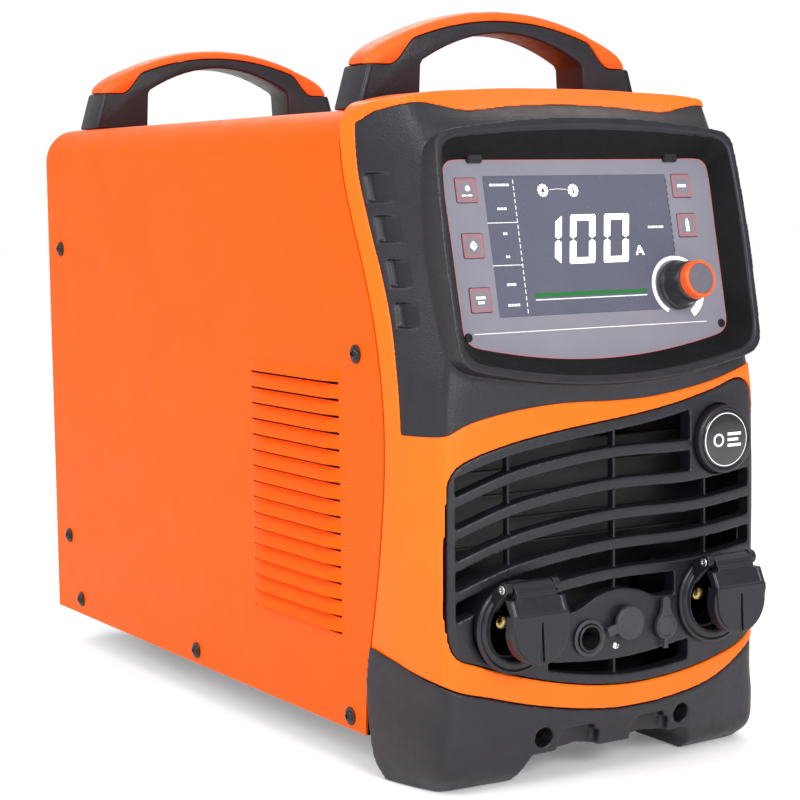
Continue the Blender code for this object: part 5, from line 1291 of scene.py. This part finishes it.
def fan_rotor():
    """Seven curved blades round a domed hub."""
    at = (0, SKIN - 0.002 - GAP - 0.011, FAN_AT[1])
    hub = mm((0, 8.5), (18, 8.5), (19.6, 7.8), (20, 6.2), (20, -9.5), (3.4, -9.5), (3.4, 5), (0, 5))
    rotor = build("fan_blades", turned_mesh(hub, "y", 64))
    blades = []
    for k in range(7):
        rows = []
        for r in spread(0.019, 0.054, 12):
            pitch = radians(50 - 16 * (r - 0.019) / 0.035)
            chord, sweep = 0.0105, 0.22 * (r - 0.019) / 0.035
            line = [(u * chord * cos(pitch), u * chord * sin(pitch) + 0.0012 * (1 - u * u))
                for u in spread(-1, 1, 9)]
            ring = [(c, d + 0.0008) for c, d in line] + [(c, d - 0.0008) for c, d in reversed(line)]
            rows.append([(r * cos(sweep + c / r), min(max(d, -0.009), 0.0085), r * sin(sweep + c / r))
                for c, d in ring])
        blades.append(shifted(loft_mesh(rows), (0, 0, 0), Matrix.Rotation(2 * pi * k / 7, 3, "Y")))
    for blade in blades:
        carve(rotor, "UNION", blade)
    crisp(rotor, 35)
    rotor.matrix_world = DEPTH_FRAME @ Matrix.Translation(at)
    finish_piece(rotor, "smooth_black", "fan_rotor", body="fan")


def rear_fittings():
    """Gland, air inlet with its nut, and feet, all finer than the CAD's."""
    gland = mm((7, -20), (13, -20), (13, 0.2), (17.2, 0.4), (17.6, 1), (17.6, 8), (17.2, 8.8), (15.6, 9),
        (15.6, 26), (15, 30), (13.6, 34), (11.8, 36.6), (10.8, 37), (7.4, 37), (7, 36.4), (7, -20))
    body = turned_mesh(gland, "y", 64)
    piece = build("gland_body", shifted(body, (0.07, SKIN, 0.33)))
    ribs = merged(*[shifted(box_mesh(*mm((15, 10, -0.7), (16.2, 25, 0.7))), (0.07, SKIN, 0.33),
        Matrix.Rotation(2 * pi * k / 16, 3, "Y")) for k in range(16)])
    carve(piece, "UNION", ribs)
    finish_piece(crisp(piece), "smooth_black", "cable_gland")
    inlet = mm((3.8, -25), (7, -25), (7, 8), (6, 8.4), (5, 9))
    inlet += [point for k in range(4) for point in ((0.005, 0.0096 + 0.0045 * k),
        (0.0055, 0.01 + 0.0045 * k), (0.0048, 0.0136 + 0.0045 * k))]
    inlet += mm((4.4, 27.8), (4, 28), (3.8, 27.6), (3.8, -25))
    piece = build("inlet_nipple", shifted(turned_mesh(inlet, "y", 48), (0.07, SKIN, 0.268)))
    nut = rod_mesh("y", 0.011, GAP, 0.0078, (0, 0), 6)
    bmesh.ops.bevel(nut, geom=[e for e in nut.edges if abs(e.verts[0].co.y - e.verts[1].co.y) < 1e-6],
        offset=0.0006, segments=2, affect="EDGES")
    shaft = rod_mesh("y", 0.006, -0.01, 0.02, (0, 0), 32)
    ring = build("inlet_nut", shifted(nut, (0.07, SKIN, 0.268)))
    carve(ring, "DIFFERENCE", shifted(shaft, (0.07, SKIN, 0.268)))
    finish_piece(crisp(ring), "brass")
    finish_piece(crisp(piece), "brass", "air_inlet")
    for side, word in SIDES:
        foot = mm((0, 0), (14, 0), (14.8, 0.6), (15.2, 2), (15.8, 10), (16.6, 20), (17, 24), (16.8, 25.2),
            (0, 25.2))
        piece = build(f"foot_{word}", shifted(turned_mesh(foot, "z", 64), (side * 0.06, 0.5, 0)))
        grooves = shifted(turned_mesh(mm((14.5, 7), (20, 7), (20, 8.4), (14.5, 8.4), (14.5, 7)), "z", 64),
            (side * 0.06, 0.5, 0))
        carve(piece, "DIFFERENCE", grooves)
        finish_piece(crisp(piece), "rubber", f"rear_foot_{word}")


CAD_LOOKS = {"base_pan": "zinc", "rear_panel": "black_sheet", "encoder_body": "steel",
    "encoder_shaft": "steel", "control_board": "board", "fan_frame": "smooth_black",
    "power_switch": "smooth_black", "power_switch_lever": "lever", "main_transformer": "ferrite",
    "heat_sink": "aluminium", "inverter_board": "board", "solenoid_valve": "brass"}
case_cover()
case_screws()
front_bezel()
display_hood()
front_grille()
front_bumper()
painted_shade_plate()
seam_shade_strip()
inner_divider()
display_panel()
painted_recess_shade()
display_prints()
keys()
knob()
badge()
socket("left", -SOCKET_X, "left_lid")
socket("right", SOCKET_X, "right_lid")
torch_connector()
for handle_word, handle_front in HANDLES.items():
    handle(handle_word, handle_front)
fan_guard()
fan_rotor()
rear_fittings()


# ---- CAD nodes that stay as they are, with their own finishes ----
for node_name, look in CAD_LOOKS.items():
    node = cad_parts[node_name]
    node.data.materials.clear()
    node.data.materials.append(LOOKS[look])


# ---- studio ----
def soft_light(name, place, aim, size, watts):
    data = bpy.data.lights.new(name, "AREA")
    data.shape, data.size, data.size_y = "RECTANGLE", *size
    data.energy = watts
    lamp = bpy.data.objects.new(name, data)
    bpy.context.scene.collection.objects.link(lamp)
    lamp.location = place
    lamp.rotation_euler = (Vector(aim) - Vector(place)).to_track_quat("-Z", "Y").to_euler()


def studio():
    """Pale floor, white surroundings that are brighter behind and above the object, and three soft lights."""
    world = bpy.data.worlds.new("studio")
    world.use_nodes = True
    tree, link = world.node_tree, world.node_tree.links.new
    back = tree.nodes["Background"].inputs
    back["Color"].default_value = (1, 1, 1, 1)
    place = add_node(tree, "TexCoord").outputs["Generated"]
    along = add_node(tree, "VectorMath", place)
    along.operation = "DOT_PRODUCT"
    along.inputs[1].default_value = (0.45, 0.89, 0)
    fade = add_node(tree, "MapRange", along.outputs["Value"], From_Min=0.5, From_Max=0.85, To_Min=0.46,
        To_Max=1.04)
    split = add_node(tree, "SeparateXYZ", place)
    above = add_node(tree, "MapRange", split.outputs["Z"], From_Min=0.4, From_Max=0.85, To_Min=0.46,
        To_Max=1.15)
    brighter = add_node(tree, "Math", fade.outputs["Result"])
    brighter.operation = "MAXIMUM"
    link(above.outputs["Result"], brighter.inputs[1])
    link(brighter.outputs["Value"], back["Strength"])
    bpy.context.scene.world = world
    bpy.context.scene.view_settings.view_transform = "Standard"
    middle = (0, 0, 0.25)
    soft_light("key", (-2.1, -0.3, 1.7), middle, (1.2, 1.2), 30)
    soft_light("front", (-0.3, -2.2, 1.1), middle, (0.9, 0.7), 34)
    soft_light("back", (0.9, 1.8, 1.9), middle, (1.4, 1), 16)
    data = bmesh.new()
    bmesh.ops.create_grid(data, x_segments=24, y_segments=24, size=14)
    floor = build("floor", data, Matrix.Translation((0, 0, -0.0004)))
    pale = surface("pale_floor", (0.93, 0.93, 0.93), (0.91, 0.91, 0.91), (0.55, 0.65), None, 0.4)
    floor.data.materials.append(lit(pale, (1, 1, 1), 0.14))


studio()
